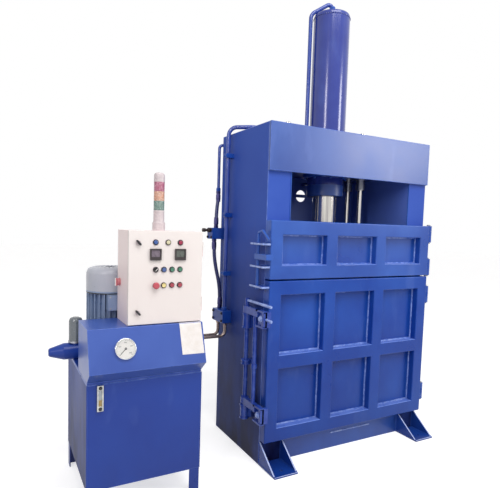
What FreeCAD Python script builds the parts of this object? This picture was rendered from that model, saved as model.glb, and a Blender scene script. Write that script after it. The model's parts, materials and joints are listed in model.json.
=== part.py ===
import FreeCAD
import Part
import Sketcher
import math
import os
import re

# A down-stroke recycling baler: a welded press with two front doors, and the hydraulic power pack
# that feeds it. Millimetres. The origin is on the floor below the ram's axis, +Z up, front to -Y.

sizes = {
    # press frame
    "press_width": 1350, "press_depth": 650, "press_height": 2130, "post_width": 168, "frame_wall": 12,
    "crosshead_height": 292, "front_plate": 21, "crosshead_recess": 47, "crosshead_floor": 40,
    "crosshead_cover": 20, "web_spread": 200, "chamber_depth": 610, "back_plate": 10, "back_rib": 10,
    "sight_radius": 45, "sight_off": 12, "sight_drop": 383, "sight_bar": 24,
    "sill_height": 158, "floor_plate": 20, "tie_groove": 22, "tie_pitch": 220, "tie_depth": 12,
    # feet
    "foot_reach": 197, "foot_plate": 12, "gusset_height": 150, "gusset_wall": 10, "gusset_toe": 14,
    "anchor_radius": 11, "anchor_back": 62,
    # cylinder and ram
    "tube_radius": 128, "tube_bore": 100, "tube_drop": 75, "tube_length": 1168, "cap_height": 30,
    "cap_round": 18, "bore_gap": 0.5, "gland_height": 80, "gland_radius": 132, "flange_radius": 165,
    "flange_height": 22, "flange_bolts": 8, "bolt_radius": 9, "bolt_ring": 148, "bolt_head": 12,
    "port_radius": 26, "port_height": 38, "rod_port_radius": 22, "rod_port_lift": 25,
    "ram_radius": 86, "ram_gap": 0.08, "piston_height": 70, "piston_lift": 5, "stop_height": 30,
    "stop_gap": 6, "ram_flange": 112, "ram_flange_height": 25, "platen_low": 450, "platen_plate": 25,
    "platen_rib": 70, "platen_pad": 25,
    "platen_gap": 7, "pad_radius": 150, "rib_wall": 12, "front_brace": 130, "rear_brace": 72,
    "guide_radius": 19, "guide_spread": 337, "guide_back": 145, "guide_over": 95, "guide_gap": 0.08,
    "bush_radius": 35, "bush_collar": 47, "bush_low": 88, "bush_rise": 15, "boss_radius": 34,
    # doors
    "door_gap": 2, "door_plate": 10, "rib_width": 88, "rib_depth": 50, "door_split": 1175,
    "door_seam": 8, "door_low": 160, "upper_top": 1540, "middle_rail": 88,
    # hinges
    "hinge_out": 25, "hinge_forward": 30, "knuckle_radius": 22, "pin_radius": 12, "pin_gap": 0.08,
    "lug_height": 40, "knuckle_height": 39, "lug_reach": 60, "hinge_high": 1480, "hinge_mid": 1238,
    "hinge_low_top": 1035, "hinge_low": 300,
    # lower lock
    "lock_out": 40, "lock_back": 135, "lock_radius": 14, "lock_gap": 0.08, "bearing_radius": 26,
    "bearing_low": 265, "bearing_high": 855, "bearing_height": 95, "bearing_mid": 620,
    "bearing_mid_height": 30, "collar_radius": 31, "collar_height": 9, "claw_arm": 45, "claw_head": 105,
    "claw_gap": 2, "claw_thick": 28,
    "claw_right": 8, "claw_reach": 235, "claw_nose": 26, "claw_tip": 36, "tie_back": 120,
    "tie_radius": 13, "lever_height": 1030, "lever_reach": 295, "lever_radius": 9,
    # upper latch
    "latch_back": 25, "latch_out": 37, "latch_radius": 10, "latch_gap": 0.08, "latch_lug": 12,
    "latch_lug_low": 1128, "latch_lug_mid": 1250, "latch_lug_high": 1387, "latch_lug_front": 95,
    "latch_lug_back": 60, "latch_claw_low": 1300, "latch_claw_height": 34, "latch_reach": 130,
    "latch_nose": 24, "latch_tip": 30, "latch_handle": 8, "latch_lug_width": 60,
    # pipes
    "pipe_radius": 14, "pipe_bend": 55, "pipe_out": 33, "pipe_back": 166, "over_rise": 38,
    "over_back": 60, "over_run": 130, "rise_left": 150, "rise_back": 45, "turn_drop": 8, "elbow_rise": 92,
    "elbow_bend": 26, "rod_pipe_radius": 11, "rod_pipe_out": 27, "rod_run_drop": 55, "rod_bend": 26,
    "clamp_drop": 170, "clamp_pitch": 405, "clamp_width": 46, "clamp_height": 30, "clamp_wall": 8,
    "hose_radius": 13, "hose_drop": 385, "hose_off": 15, "hose_inset": 28, "block_drop": 650,
    "block_tall": 80, "block_front": 262, "block_rear": 352, "block_out": 95, "manifold_low": 820,
    "manifold_high": 905, "manifold_front": 115, "manifold_rear": 290, "manifold_out": 67,
    "supply_radius": 11, "supply_bend": 36, "supply_front": 145, "supply_low": 712, "supply_step": 14,
    "supply_knee": 900, "knee_step": 60, "supply_lean": 140, "supply_rise": 40, "supply_spread": 29,
    # power pack
    "pack_left": 1732, "pack_right": 1126, "pack_front": 438, "pack_rear": 200, "tank_low": 140,
    "tank_top": 690, "tank_wall": 5, "lid_wall": 12, "leg_width": 58, "leg_wall": 6,
    "console_top": 968, "console_lip": 760, "lip_reach": 69, "console_depth": 263, "sheet_wall": 3,
    "motor_x": 1532, "motor_y": 15, "bell_height": 128, "bell_radius": 100, "bell_wall": 12,
    "motor_flange": 146, "motor_flange_height": 18, "core_radius": 112, "fin_radius": 132,
    "fin_wall": 4, "fin_count": 28, "fin_low": 866, "fin_high": 1100, "cowl_radius": 134,
    "cowl_low": 1108, "cowl_top": 1239, "cowl_wall": 3, "cowl_round": 34, "shaft_radius": 14,
    "shaft_gap": 0.1, "shaft_low": 760, "fan_radius": 112, "fan_low": 1140, "fan_height": 45,
    "fan_blades": 7, "fan_hub": 30, "grille_slots": 20, "slot_inner": 42, "slot_outer": 88,
    "slot_wide": 7, "box_wide": 92, "box_tall": 84, "box_low": 1010, "box_front": 184,
    "head_x": 1716, "head_y": 30, "head_radius": 47, "head_high": 751, "head_boss": 30,
    "head_barrel": 95, "head_length": 176, "head_nose": 24, "canister_radius": 38,
    "canister_height": 146, "canister_round": 22, "seat_rise": 3,
    "valve_left": 1330, "valve_right": 1180, "valve_front": 70, "valve_rear": 70, "valve_height": 98,
    "gauge_x": 1553, "gauge_along": 0.49, "gauge_radius": 54, "gauge_rise": 14, "gauge_rim": 5,
    "dial_drop": 7, "needle_length": 38, "needle_wide": 4, "needle_wall": 1.5, "needle_hub": 6,
    "level_left": 1684, "level_wide": 32, "level_low": 554, "level_tall": 132, "level_out": 12,
    # control box
    "case_left": 1531, "case_right": 1131, "case_front": 425, "case_rear": 190, "case_top": 1458,
    "case_wall": 2.5, "case_door": 18, "case_seam": 0.5, "case_lip": 15, "case_lift": 4,
    "case_hinge": 5, "case_hinge_out": 6, "case_pin": 2.5, "case_pin_gap": 0.05, "hinge_leaf": 40,
    "leaf_back": 24, "case_hinge_drop": 95,
    "lock_x": 1482, "lock_high": 1396, "lock_low": 1037, "lock_disc": 13, "lock_stem": 5.5,
    "lock_wing": 34, "cam_length": 38, "cam_wide": 14, "cam_wall": 3,
    "button_x": 1258, "button_pitch": 44, "row_high": 1257, "row_low": 1174.5, "lamp_high": 1399,
    "lamp_pitch": 67, "meter_high": 1336, "meter_pitch": 134, "meter_size": 60, "meter_out": 12,
    "bezel_radius": 14.5, "bezel_height": 6, "cap_radius": 11, "cap_out": 10, "cap_gap": 0.3,
    "stem_radius": 6, "stem_gap": 0.05, "button_travel": 4, "mushroom_radius": 18, "mushroom_out": 24,
    "switch_high": 1177, "switch_back": 245, "switch_radius": 21, "switch_out": 26,
    "stack_x": 1341, "stack_y": 308, "stack_base": 34, "stack_lens": 29, "stack_core": 12,
    "stack_base_top": 1567, "lens_height": 50, "stack_cap": 50, "lens_gap": 0.4,
    # gaps between pieces that move past each other
    "face_gap": 0.3,
}

doc = FreeCAD.newDocument("Baler")
sheet = doc.addObject("Spreadsheet::Sheet", "Sizes")
for row, (name, value) in enumerate(sizes.items(), start=1):
    sheet.set(f"A{row}", name)
    sheet.set(f"B{row}", str(value))
    sheet.setAlias(f"B{row}", name)
doc.recompute()

# Places that many pieces share, written in the sheet's names.
side = "press_width / 2"
inner = "(press_width / 2 - post_width)"
front = "(-press_depth / 2)"
rear = "(press_depth / 2)"
head_low = "(press_height - crosshead_height)"
head_floor = "(press_height - crosshead_height + crosshead_recess)"
chamber_back = "(chamber_depth - press_depth / 2)"
tube_low = "(press_height - crosshead_height + crosshead_recess - tube_drop)"
tube_top = f"({tube_low} + tube_length)"
cap_top = f"({tube_low} + tube_length + cap_height)"
gland_low = f"({tube_low} - gland_height)"
rod_port = f"({tube_low} + rod_port_lift)"
guide_top = "(press_height + guide_over)"
sight_high = "(press_height - sight_drop)"
block_high = "(press_height - block_drop)"
platen_top = "(platen_low + platen_plate + platen_rib + platen_pad)"
door_back = "(-press_depth / 2 - door_gap)"
door_skin = "(-press_depth / 2 - door_gap - door_plate)"
door_front = "(-press_depth / 2 - door_gap - door_plate - rib_depth)"
hinge_x = "(press_width / 2 + hinge_out)"
hinge_y = "(-press_depth / 2 - hinge_forward)"
lock_x = "(-press_width / 2 - lock_out)"
lock_y = "(-press_depth / 2 + lock_back)"
latch_x = "(-press_width / 2 - latch_out)"
latch_y = "(-press_depth / 2 + latch_back)"
lid_top = "(tank_top + lid_wall)"
motor_low = "(tank_top + lid_wall + bell_height)"
case_skin = "(-case_front)"
case_face = "(-case_front + case_door + case_seam)"

nodes = {}


def size(name):
    """A driving size as a number, for the shapes made straight from it."""
    return float(getattr(sheet, name))


def bind(item, prop, text):
    """Ties one property to an expression written in the sheet's names."""
    def named(word):
        return "Sizes." + word.group() if word.group() in sizes else word.group()

    item.setExpression(prop, re.sub(r"[a-z]\w*", named, str(text)))


def place(item, at):
    for axis, text in zip("xyz", at):
        bind(item, "Placement.Base." + axis, text)


def block(x, y, z):
    """A box from its lowest to its highest corner, each given as a pair of expressions."""
    item = doc.addObject("Part::Box", "Block")
    for prop, (low, high) in zip(("Length", "Width", "Height"), (x, y, z)):
        bind(item, prop, f"({high}) - ({low})")
    place(item, (x[0], y[0], z[0]))
    return item


turns = {
    "x": FreeCAD.Rotation(FreeCAD.Vector(0, 1, 0), 90),
    "y": FreeCAD.Rotation(FreeCAD.Vector(1, 0, 0), -90),
    "z": FreeCAD.Rotation(),
}


def bar(axis, at, radius, low, high):
    """A round bar along one axis, from low to high, at two cross coordinates."""
    item = doc.addObject("Part::Cylinder", "Bar")
    item.Placement.Rotation = turns[axis]
    bind(item, "Radius", radius)
    bind(item, "Height", f"({high}) - ({low})")
    spot = list(at)
    spot.insert("xyz".index(axis), low)
    place(item, spot)
    return item


def spoke(centre, angle, inner_end, outer_end, wide, low, high):
    """An upright plate that points outward from a vertical axis, at an angle in degrees."""
    item = doc.addObject("Part::Box", "Spoke")
    for prop, text in (("Length", f"({outer_end}) - ({inner_end})"), ("Width", wide),
                       ("Height", f"({high}) - ({low})")):
        bind(item, prop, text)
    item.Placement.Rotation = FreeCAD.Rotation(FreeCAD.Vector(0, 0, 1), angle)
    place(item, (f"({centre[0]}) + ({inner_end}) * cos({angle}) + ({wide}) / 2 * sin({angle})",
                 f"({centre[1]}) + ({inner_end}) * sin({angle}) - ({wide}) / 2 * cos({angle})", low))
    return item


def fuse(*items):
    item = doc.addObject("Part::MultiFuse", "Joined")
    item.Shapes = list(items)
    return item


def cut(base, *tools):
    item = doc.addObject("Part::Cut", "Trimmed")
    item.Base = base
    item.Tool = tools[0] if len(tools) == 1 else fuse(*tools)
    return item


def group(*items):
    item = doc.addObject("Part::Compound", "Set")
    item.Links = list(items)
    return item


def node(label, item):
    item.Label = label
    nodes[label] = item
    return item


def body(at):
    item = doc.addObject("PartDesign::Body", "Body")
    place(item, at)
    return item


def outline(owner, plane, points):
    """A closed sketch of straight lines, each corner held by two dimensions from the origin."""
    face = next(f for f in owner.Origin.OriginFeatures if f.Role == plane)
    item = owner.newObject("Sketcher::SketchObject", "Outline")
    item.AttachmentSupport = (face, [""])
    item.MapMode = "FlatFace"
    count = len(points)
    corner = [FreeCAD.Vector(10 * math.cos(2 * math.pi * i / count), 10 * math.sin(2 * math.pi * i / count),
                             0)
              for i in range(count)]
    for i in range(count):
        item.addGeometry(Part.LineSegment(corner[i], corner[(i + 1) % count]), False)
    for i in range(count):
        item.addConstraint(Sketcher.Constraint("Coincident", i, 2, (i + 1) % count, 1))
    for i, (across, up) in enumerate(points):
        for kind, text in (("DistanceX", across), ("DistanceY", up)):
            start = corner[i].x if kind == "DistanceX" else corner[i].y
            number = item.addConstraint(Sketcher.Constraint(kind, -1, 1, i, 1, start))
            bind(item, f"Constraints[{number}]", text)
    return item


def turned(at, points):
    """A piece turned about a vertical axis, from its half section (radius, height)."""
    owner = body(at)
    profile = outline(owner, "XZ_Plane", points)
    item = owner.newObject("PartDesign::Revolution", "Turned")
    item.Profile = profile
    item.ReferenceAxis = (profile, ["V_Axis"])
    item.Angle = 360
    profile.Visibility = False
    return owner


def padded(at, plane, points, length):
    """A plate or bar pushed out from an outline."""
    owner = body(at)
    profile = outline(owner, plane, points)
    item = owner.newObject("PartDesign::Pad", "Pad")
    item.Profile = profile
    bind(item, "Length", length)
    return owner


def tube_along(points, radius, bends):
    """A round tube along straight runs joined by tangent arcs, one radius for each corner.

    With bends None, each arc is as large as its two runs allow."""
    spots = [FreeCAD.Vector(*p) for p in points]
    runs = [(b - a).Length for a, b in zip(spots, spots[1:])]
    edges = []
    start = spots[0]
    tightest = None
    for i in range(1, len(spots) - 1):
        back = (spots[i - 1] - spots[i]).normalize()
        ahead = (spots[i + 1] - spots[i]).normalize()
        half = (math.pi - back.getAngle(ahead)) / 2
        arc = bends[i - 1] if bends else 0.45 * min(runs[i - 1], runs[i]) / math.tan(half)
        trim = arc * math.tan(half)
        middle = (back + ahead).normalize()
        first = spots[i] + back * trim
        last = spots[i] + ahead * trim
        top = spots[i] + middle * (arc / math.cos(half) - arc)
        edges.append(Part.LineSegment(start, first).toShape())
        edges.append(Part.Arc(first, top, last).toShape())
        tightest = arc if tightest is None else min(tightest, arc)
        start = last
    edges.append(Part.LineSegment(start, spots[-1]).toShape())
    path = Part.Wire(edges)
    ring = Part.Wire(Part.Circle(spots[0], spots[1] - spots[0], radius).toShape())
    shape = path.makePipeShell([ring], True, False)
    expected = math.pi * radius ** 2 * path.Length
    print("tube radius %.1f length %.0f tightest arc %.0f volume ratio %.4f"
          % (radius, path.Length, tightest or 0, shape.Volume / expected))
    return shape


def made(label, shape):
    """A piece whose shape is worked out here from the sheet's sizes."""
    item = doc.addObject("Part::Feature", "Made")
    item.Shape = shape
    return node(label, item)


def side_frame(label, sign):
    """One welded box side, from floor to top, with the front post in its front."""
    edges = (f"-{side}", f"-{inner}") if sign < 0 else (inner, side)
    shell = block(edges, (front, rear), ("0", "press_height"))
    hollow = block((f"({edges[0]}) + frame_wall", f"({edges[1]}) - frame_wall"),
                   (f"{front} + frame_wall", f"{rear} - frame_wall"),
                   ("frame_wall", "press_height - frame_wall"))
    node(label, cut(shell, hollow))


def back_wall():
    """The chamber's back with its sight hole, and flat stiffeners outside."""
    behind = f"({chamber_back} + back_plate)"
    plate = block((f"-{inner}", inner), (chamber_back, behind), ("sill_height", head_floor))
    ribs = []
    for step in range(1, 6):
        height = f"(sill_height + {step} * ({head_floor} - sill_height) / 6)"
        ribs.append(block((f"-{inner}", inner), (behind, rear), (height, f"{height} + back_rib")))
    for k in (-3, -1, 1, 3):
        middle = f"({k} * {inner} / 5)"
        ribs.append(block((f"{middle} - back_rib / 2", f"{middle} + back_rib / 2"), (behind, rear),
                          ("sill_height", head_floor)))
    hole = bar("y", ("-sight_off", sight_high), "sight_radius", f"{chamber_back} - 5", f"{rear} + 5")
    pass_hole = bar("y", ("0", rod_port), "rod_pipe_radius + bore_gap", f"{chamber_back} - 5", f"{rear} + 5")
    level = block(("-sight_off - sight_radius - 5", "-sight_off + sight_radius + 5"), (chamber_back, behind),
                  (f"{sight_high} - sight_bar / 2", f"{sight_high} + sight_bar / 2"))
    node("back_wall", fuse(cut(fuse(plate, *ribs), hole, pass_hole), level))


def crosshead():
    """The box beam over the chamber, bored for the cylinder and the guide bushes."""
    beam = [
        block((f"-{side}", side), (f"{front} - front_plate", front), (head_low, "press_height")),
        block((f"-{inner}", inner), (front, rear), (head_floor, f"{head_floor} + crosshead_floor")),
        block((f"-{inner}", inner), (front, rear), ("press_height - crosshead_cover", "press_height")),
        block((f"-{inner}", inner), (f"{rear} - frame_wall", rear), (head_floor, "press_height")),
    ]
    for sign in (-1, 1):
        middle = f"({sign} * web_spread)"
        beam.append(block((f"{middle} - frame_wall / 2", f"{middle} + frame_wall / 2"), (front, rear),
                          (head_floor, "press_height")))
    holes = [bar("z", ("0", "0"), "tube_radius + bore_gap", f"{head_floor} - 5", "press_height + 5")]
    for x, y in guides:
        holes.append(bar("z", (x, y), "bush_radius + bore_gap", f"{head_floor} - 5", "press_height + 5"))
    node("crosshead", cut(fuse(*beam), *holes))


def base_frame():
    """The hollow base with the chamber floor, grooved for the tie wires."""
    shell = block((f"-{inner}", inner), (front, rear), ("0", "sill_height"))
    hollow = block((f"-{inner} + frame_wall", f"{inner} - frame_wall"),
                   (f"{front} + frame_wall", f"{rear} - frame_wall"),
                   ("frame_wall", "sill_height - floor_plate"))
    grooves = [block((f"{k} * tie_pitch - tie_groove / 2", f"{k} * tie_pitch + tie_groove / 2"),
                     (f"{front} - 5", chamber_back), ("sill_height - tie_depth", "sill_height + 5"))
               for k in tie_rows]
    node("base_frame", cut(shell, hollow, *grooves))


def front_foot(sign):
    """One foot: a drilled base plate and two gussets welded to the front of the side."""
    left = f"(-{side})" if sign < 0 else inner
    right = f"(-{inner})" if sign < 0 else side
    toe = f"({front} - foot_reach)"
    plate = block((left, right), (toe, front), ("0", "foot_plate"))
    hole = bar("z", (f"({left} + {right}) / 2", f"{toe} + anchor_back"), "anchor_radius", "-5",
               "foot_plate + 5")
    parts = [cut(plate, hole)]
    profile = [(front, "foot_plate"), (f"{toe} + gusset_toe", "foot_plate"), (front, "gusset_height")]
    for start in (left, f"{right} - gusset_wall"):
        parts.append(padded((start, "0", "0"), "YZ_Plane", profile, "gusset_wall"))
    return fuse(*parts)


def cylinder():
    """Tube, rounded cap with its port, gland, and the bolted flange under the beam."""
    tube = turned(("0", "0", "0"), [("tube_bore", tube_low), ("tube_radius", tube_low),
                                    ("tube_radius", tube_top), ("tube_bore", tube_top)])
    port = bar("y", ("0", rod_port), "rod_port_radius", "tube_bore + 5", "tube_radius + port_height")
    bore = bar("y", ("0", rod_port), "rod_pipe_radius", "tube_bore - 20", "tube_radius + port_height + 5")
    node("cylinder_tube", cut(fuse(tube, port), bore))
    shoulder = [("0", tube_top), ("tube_radius", tube_top), ("tube_radius", f"{cap_top} - cap_round"),
                ("tube_radius - 0.3 * cap_round", f"{cap_top} - 0.3 * cap_round"),
                ("tube_radius - cap_round", cap_top), ("port_radius", cap_top),
                ("port_radius", f"{cap_top} + port_height"), ("0", f"{cap_top} + port_height")]
    node("cylinder_cap", turned(("0", "0", "0"), shoulder))
    node("cylinder_gland", turned(("0", "0", "0"), [
        ("ram_radius + ram_gap", gland_low), ("gland_radius - 4", gland_low),
        ("gland_radius", f"{gland_low} + 4"),
        ("gland_radius", tube_low), ("ram_radius + ram_gap", tube_low)]))
    plate = turned(("0", "0", "0"), [("tube_radius + bore_gap", f"{head_floor} - flange_height"),
                                     ("flange_radius", f"{head_floor} - flange_height"),
                                     ("flange_radius", head_floor), ("tube_radius + bore_gap", head_floor)])
    bolts = []
    for k in range(int(size("flange_bolts"))):
        angle = (k + 0.5) * 360 / size("flange_bolts")
        spot = (f"bolt_ring * cos({angle})", f"bolt_ring * sin({angle})")
        bolts.append(bar("z", spot, "bolt_radius", f"{head_floor} - flange_height - bolt_head",
                         f"{head_floor} - flange_height + 2"))
    node("cylinder_flange", fuse(plate, *bolts))


def ram():
    """Rod with piston and flange, the ribbed platen it pushes, and the four guide rods."""
    rod_low = platen_top
    stop_low = f"({tube_low} + piston_lift)"
    piston_low = f"({tube_low} + piston_lift + stop_height)"
    node("piston_rod", turned(("0", "0", "0"), [
        ("0", rod_low), ("ram_flange", rod_low), ("ram_flange", f"{rod_low} + ram_flange_height"),
        ("ram_radius", f"{rod_low} + ram_flange_height"), ("ram_radius", stop_low),
        ("tube_bore - stop_gap", stop_low), ("tube_bore - stop_gap", piston_low),
        ("tube_bore - ram_gap", piston_low), ("tube_bore - ram_gap", f"{piston_low} + piston_height"),
        ("0", f"{piston_low} + piston_height")]))
    half = f"({inner} - platen_gap)"
    face = f"({front} + platen_gap)"
    back = f"({chamber_back} - platen_gap)"
    top = "(platen_low + platen_plate)"
    rib_top = "(platen_low + platen_plate + platen_rib)"
    grooves = [block((f"{k} * tie_pitch - tie_groove / 2", f"{k} * tie_pitch + tie_groove / 2"),
                     (f"{face} - 5", f"{back} + 5"), ("platen_low - 5", "platen_low + tie_depth"))
               for k in tie_rows]
    parts = [cut(block((f"-{half}", half), (face, back), ("platen_low", top)), *grooves)]
    step = f"(({half} - rib_wall / 2) / 2)"
    for k in range(-2, 3):
        middle = f"({k} * {step})"
        parts.append(block((f"{middle} - rib_wall / 2", f"{middle} + rib_wall / 2"), (face, back),
                           (top, rib_top)))
    for k in range(-2, 2):
        gap = (f"{k} * {step} + rib_wall / 2", f"{k + 1} * {step} - rib_wall / 2")
        for at in (face, "-front_brace", "rear_brace", f"{back} - rib_wall"):
            parts.append(block(gap, (at, f"{at} + rib_wall"), (top, rib_top)))
    parts.append(bar("z", ("0", "0"), "pad_radius", rib_top, f"{rib_top} + platen_pad"))
    for x, y in guides:
        parts.append(bar("z", (x, y), "boss_radius", top, rib_top))
    node("platen", group(*parts))
    rods = [turned((x, y, "0"),
                   [("0", rib_top), ("guide_radius", rib_top), ("guide_radius", f"{guide_top} - 3"),
                                 ("guide_radius - 3", guide_top), ("0", guide_top)]) for x, y in guides]
    node("guide_rods", group(*rods))
    low = f"({head_floor} - bush_low)"
    bushes = [turned((x, y, "0"), [
        ("guide_radius + guide_gap", low), ("bush_radius", low), ("bush_radius", f"{head_floor} - 12"),
        ("bush_collar", f"{head_floor} - 12"), ("bush_collar", head_floor), ("bush_radius", head_floor),
        ("bush_radius", "press_height + bush_rise"),
        ("guide_radius + guide_gap", "press_height + bush_rise")])
        for x, y in guides]
    node("guide_bushes", group(*bushes))


def door(name, low, high, rails, hinges):
    """One door: the plate, the grid of box ribs on its face, and its hinge knuckles."""
    node(f"{name}_door_plate", block((f"-{side}", side), (door_skin, door_back), (low, high)))
    parts = []
    bay = f"((press_width - 4 * rib_width) / 3)"
    for k in range(4):
        start = f"(-{side} + {k} * (rib_width + {bay}))"
        parts.append(block((start, f"{start} + rib_width"), (door_front, door_skin), (low, high)))
    for k in range(3):
        start = f"(-{side} + rib_width + {k} * (rib_width + {bay}))"
        for base, top in rails:
            parts.append(block((start, f"{start} + {bay}"), (door_front, door_skin), (base, top)))
    for height in hinges:
        bottom = f"({height} - knuckle_height / 2)"
        top = f"({height} + knuckle_height / 2)"
        barrel = bar("z", (hinge_x, hinge_y), "knuckle_radius", bottom, top)
        web = block((side, hinge_x), (f"{hinge_y} - 18", f"{hinge_y} + 18"), (bottom, top))
        hole = bar("z", (hinge_x, hinge_y), "pin_radius + pin_gap", f"{bottom} - 5", f"{top} + 5")
        parts.append(cut(fuse(barrel, web), hole))
    node(f"{name}_door_ribs", group(*parts))


def hinge_lug(height):
    """Two lugs on the side frame with the pin between them."""
    parts = [bar("z", (hinge_x, hinge_y), "pin_radius", f"{height} - lug_height * 1.6",
                 f"{height} + lug_height * 1.6")]
    for sign in (-1, 1):
        bottom = f"({height} + {sign} * lug_height - lug_height / 2)"
        top = f"({bottom} + lug_height)"
        parts.append(bar("z", (hinge_x, hinge_y), "knuckle_radius", bottom, top))
        parts.append(block((f"{hinge_x} - knuckle_radius", f"{hinge_x} + knuckle_radius / 2"),
                           (hinge_y, f"{front} + 4"), (bottom, top)))
        parts.append(block((side, f"{hinge_x} + knuckle_radius / 2"),
                           (f"{front} + 4", f"{front} + lug_reach"),
                           (bottom, top)))
    return fuse(*parts)


def lock():
    """The lower door's lock: a shaft in bearings, two claws, a tie bar and a lever."""
    claw_x = [("-claw_thick + claw_right", "0"), ("claw_right", "0"),
              ("claw_right", "-claw_reach + claw_nose"),
              ("claw_tip", "-claw_reach + claw_nose"), ("claw_tip", "-claw_reach"),
              ("-claw_thick + claw_right", "-claw_reach")]
    hook = [("-claw_thick + claw_right", "-bearing_radius - 34")] + [
        ("claw_right", "-bearing_radius - 34")] + claw_x[2:]
    top_arm = "(bearing_high + bearing_height + claw_gap)"
    low_arm = "(bearing_low + bearing_height + claw_gap)"
    top_end = f"({top_arm} + claw_arm)"
    parts = [
        bar("z", (lock_x, lock_y), "lock_radius", "bearing_low - 12", "lever_height + 16"),
        padded((lock_x, lock_y, top_arm), "XY_Plane", claw_x, "claw_arm"),
        padded((lock_x, lock_y, f"{top_end} - claw_head"), "XY_Plane", hook, "claw_head"),
        padded((lock_x, lock_y, low_arm), "XY_Plane", claw_x, "claw_arm"),
        padded((lock_x, lock_y, f"{low_arm} + claw_arm - claw_head"), "XY_Plane", hook, "claw_head"),
        bar("z", (lock_x, lock_y), "bearing_radius", top_arm, top_end),
        bar("z", (lock_x, lock_y), "bearing_radius", low_arm, f"{low_arm} + claw_arm"),
        bar("z", (f"{lock_x} - 6", f"{lock_y} - tie_back"), "tie_radius", f"{low_arm} + 5", f"{top_arm} + 5"),
    ]
    grip = doc.addObject("Part::Cylinder", "Lever")
    bind(grip, "Radius", "lever_radius")
    bind(grip, "Height", "lever_reach")
    grip.Placement.Rotation = FreeCAD.Rotation(FreeCAD.Vector(1, 0, 0), 93)
    place(grip, (lock_x, lock_y, "lever_height"))
    node("lock_bar", fuse(*parts, grip))
    bearings = []
    for low, height in (("bearing_low", "bearing_height"), ("bearing_high", "bearing_height"),
                        ("bearing_mid", "bearing_mid_height")):
        top = f"({low} + {height})"
        barrel = bar("z", (lock_x, lock_y), "bearing_radius", low, top)
        collars = [bar("z", (lock_x, lock_y), "collar_radius", low, f"{low} + collar_height"),
                   bar("z", (lock_x, lock_y), "collar_radius", f"{top} - collar_height", top)]
        web = block((lock_x, f"-{side}"), (f"{lock_y} - 16", f"{lock_y} + 16"), (low, top))
        hole = bar("z", (lock_x, lock_y), "lock_radius + lock_gap", f"{low} - 5", f"{top} + 5")
        bearings.append(cut(fuse(barrel, web, *collars), hole))
    for low in ("latch_lug_low", "latch_lug_mid", "latch_lug_high"):
        wide = f"(-{side} - latch_lug_width)"
        plate = fuse(block((wide, f"-{side} - 5"),
                           (f"{latch_y} - latch_lug_front", f"{latch_y} + latch_lug_back"),
                           (low, f"{low} + latch_lug")),
                     block((wide, f"-{side}"), (front, f"{latch_y} + latch_lug_back"),
                           (low, f"{low} + latch_lug")))
        hole = bar("z", (latch_x, latch_y), "latch_radius + latch_gap", f"{low} - 5",
                   f"{low} + latch_lug + 5")
        bearings.append(cut(plate, hole))
    node("lock_brackets", group(*bearings))


def upper_latch():
    """The upper door's latch: a pin through three lugs, a claw between them, a bent handle."""
    claw = [("-18", "14"), ("8", "14"), ("8", "-latch_reach + latch_nose"),
            ("latch_tip", "-latch_reach + latch_nose"), ("latch_tip", "-latch_reach"),
            ("-18", "-latch_reach")]
    parts = [
        bar("z", (latch_x, latch_y), "latch_radius", "latch_lug_low - 12", "latch_lug_high + latch_lug + 30"),
        padded((latch_x, latch_y, "latch_claw_low"), "XY_Plane", claw, "latch_claw_height"),
    ]
    x = -size("press_width") / 2 - size("latch_out")
    y = -size("press_depth") / 2 + size("latch_back")
    z = size("latch_lug_high") + size("latch_lug") + 18
    path = [(x, y, z), (x, y, z + 44), (x, y - 52, z + 56), (x, y - 128, z + 2)]
    handle = doc.addObject("Part::Feature", "Handle")
    handle.Shape = tube_along(path, size("latch_handle"), [14, 14])
    node("upper_latch", fuse(*parts, handle))


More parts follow.
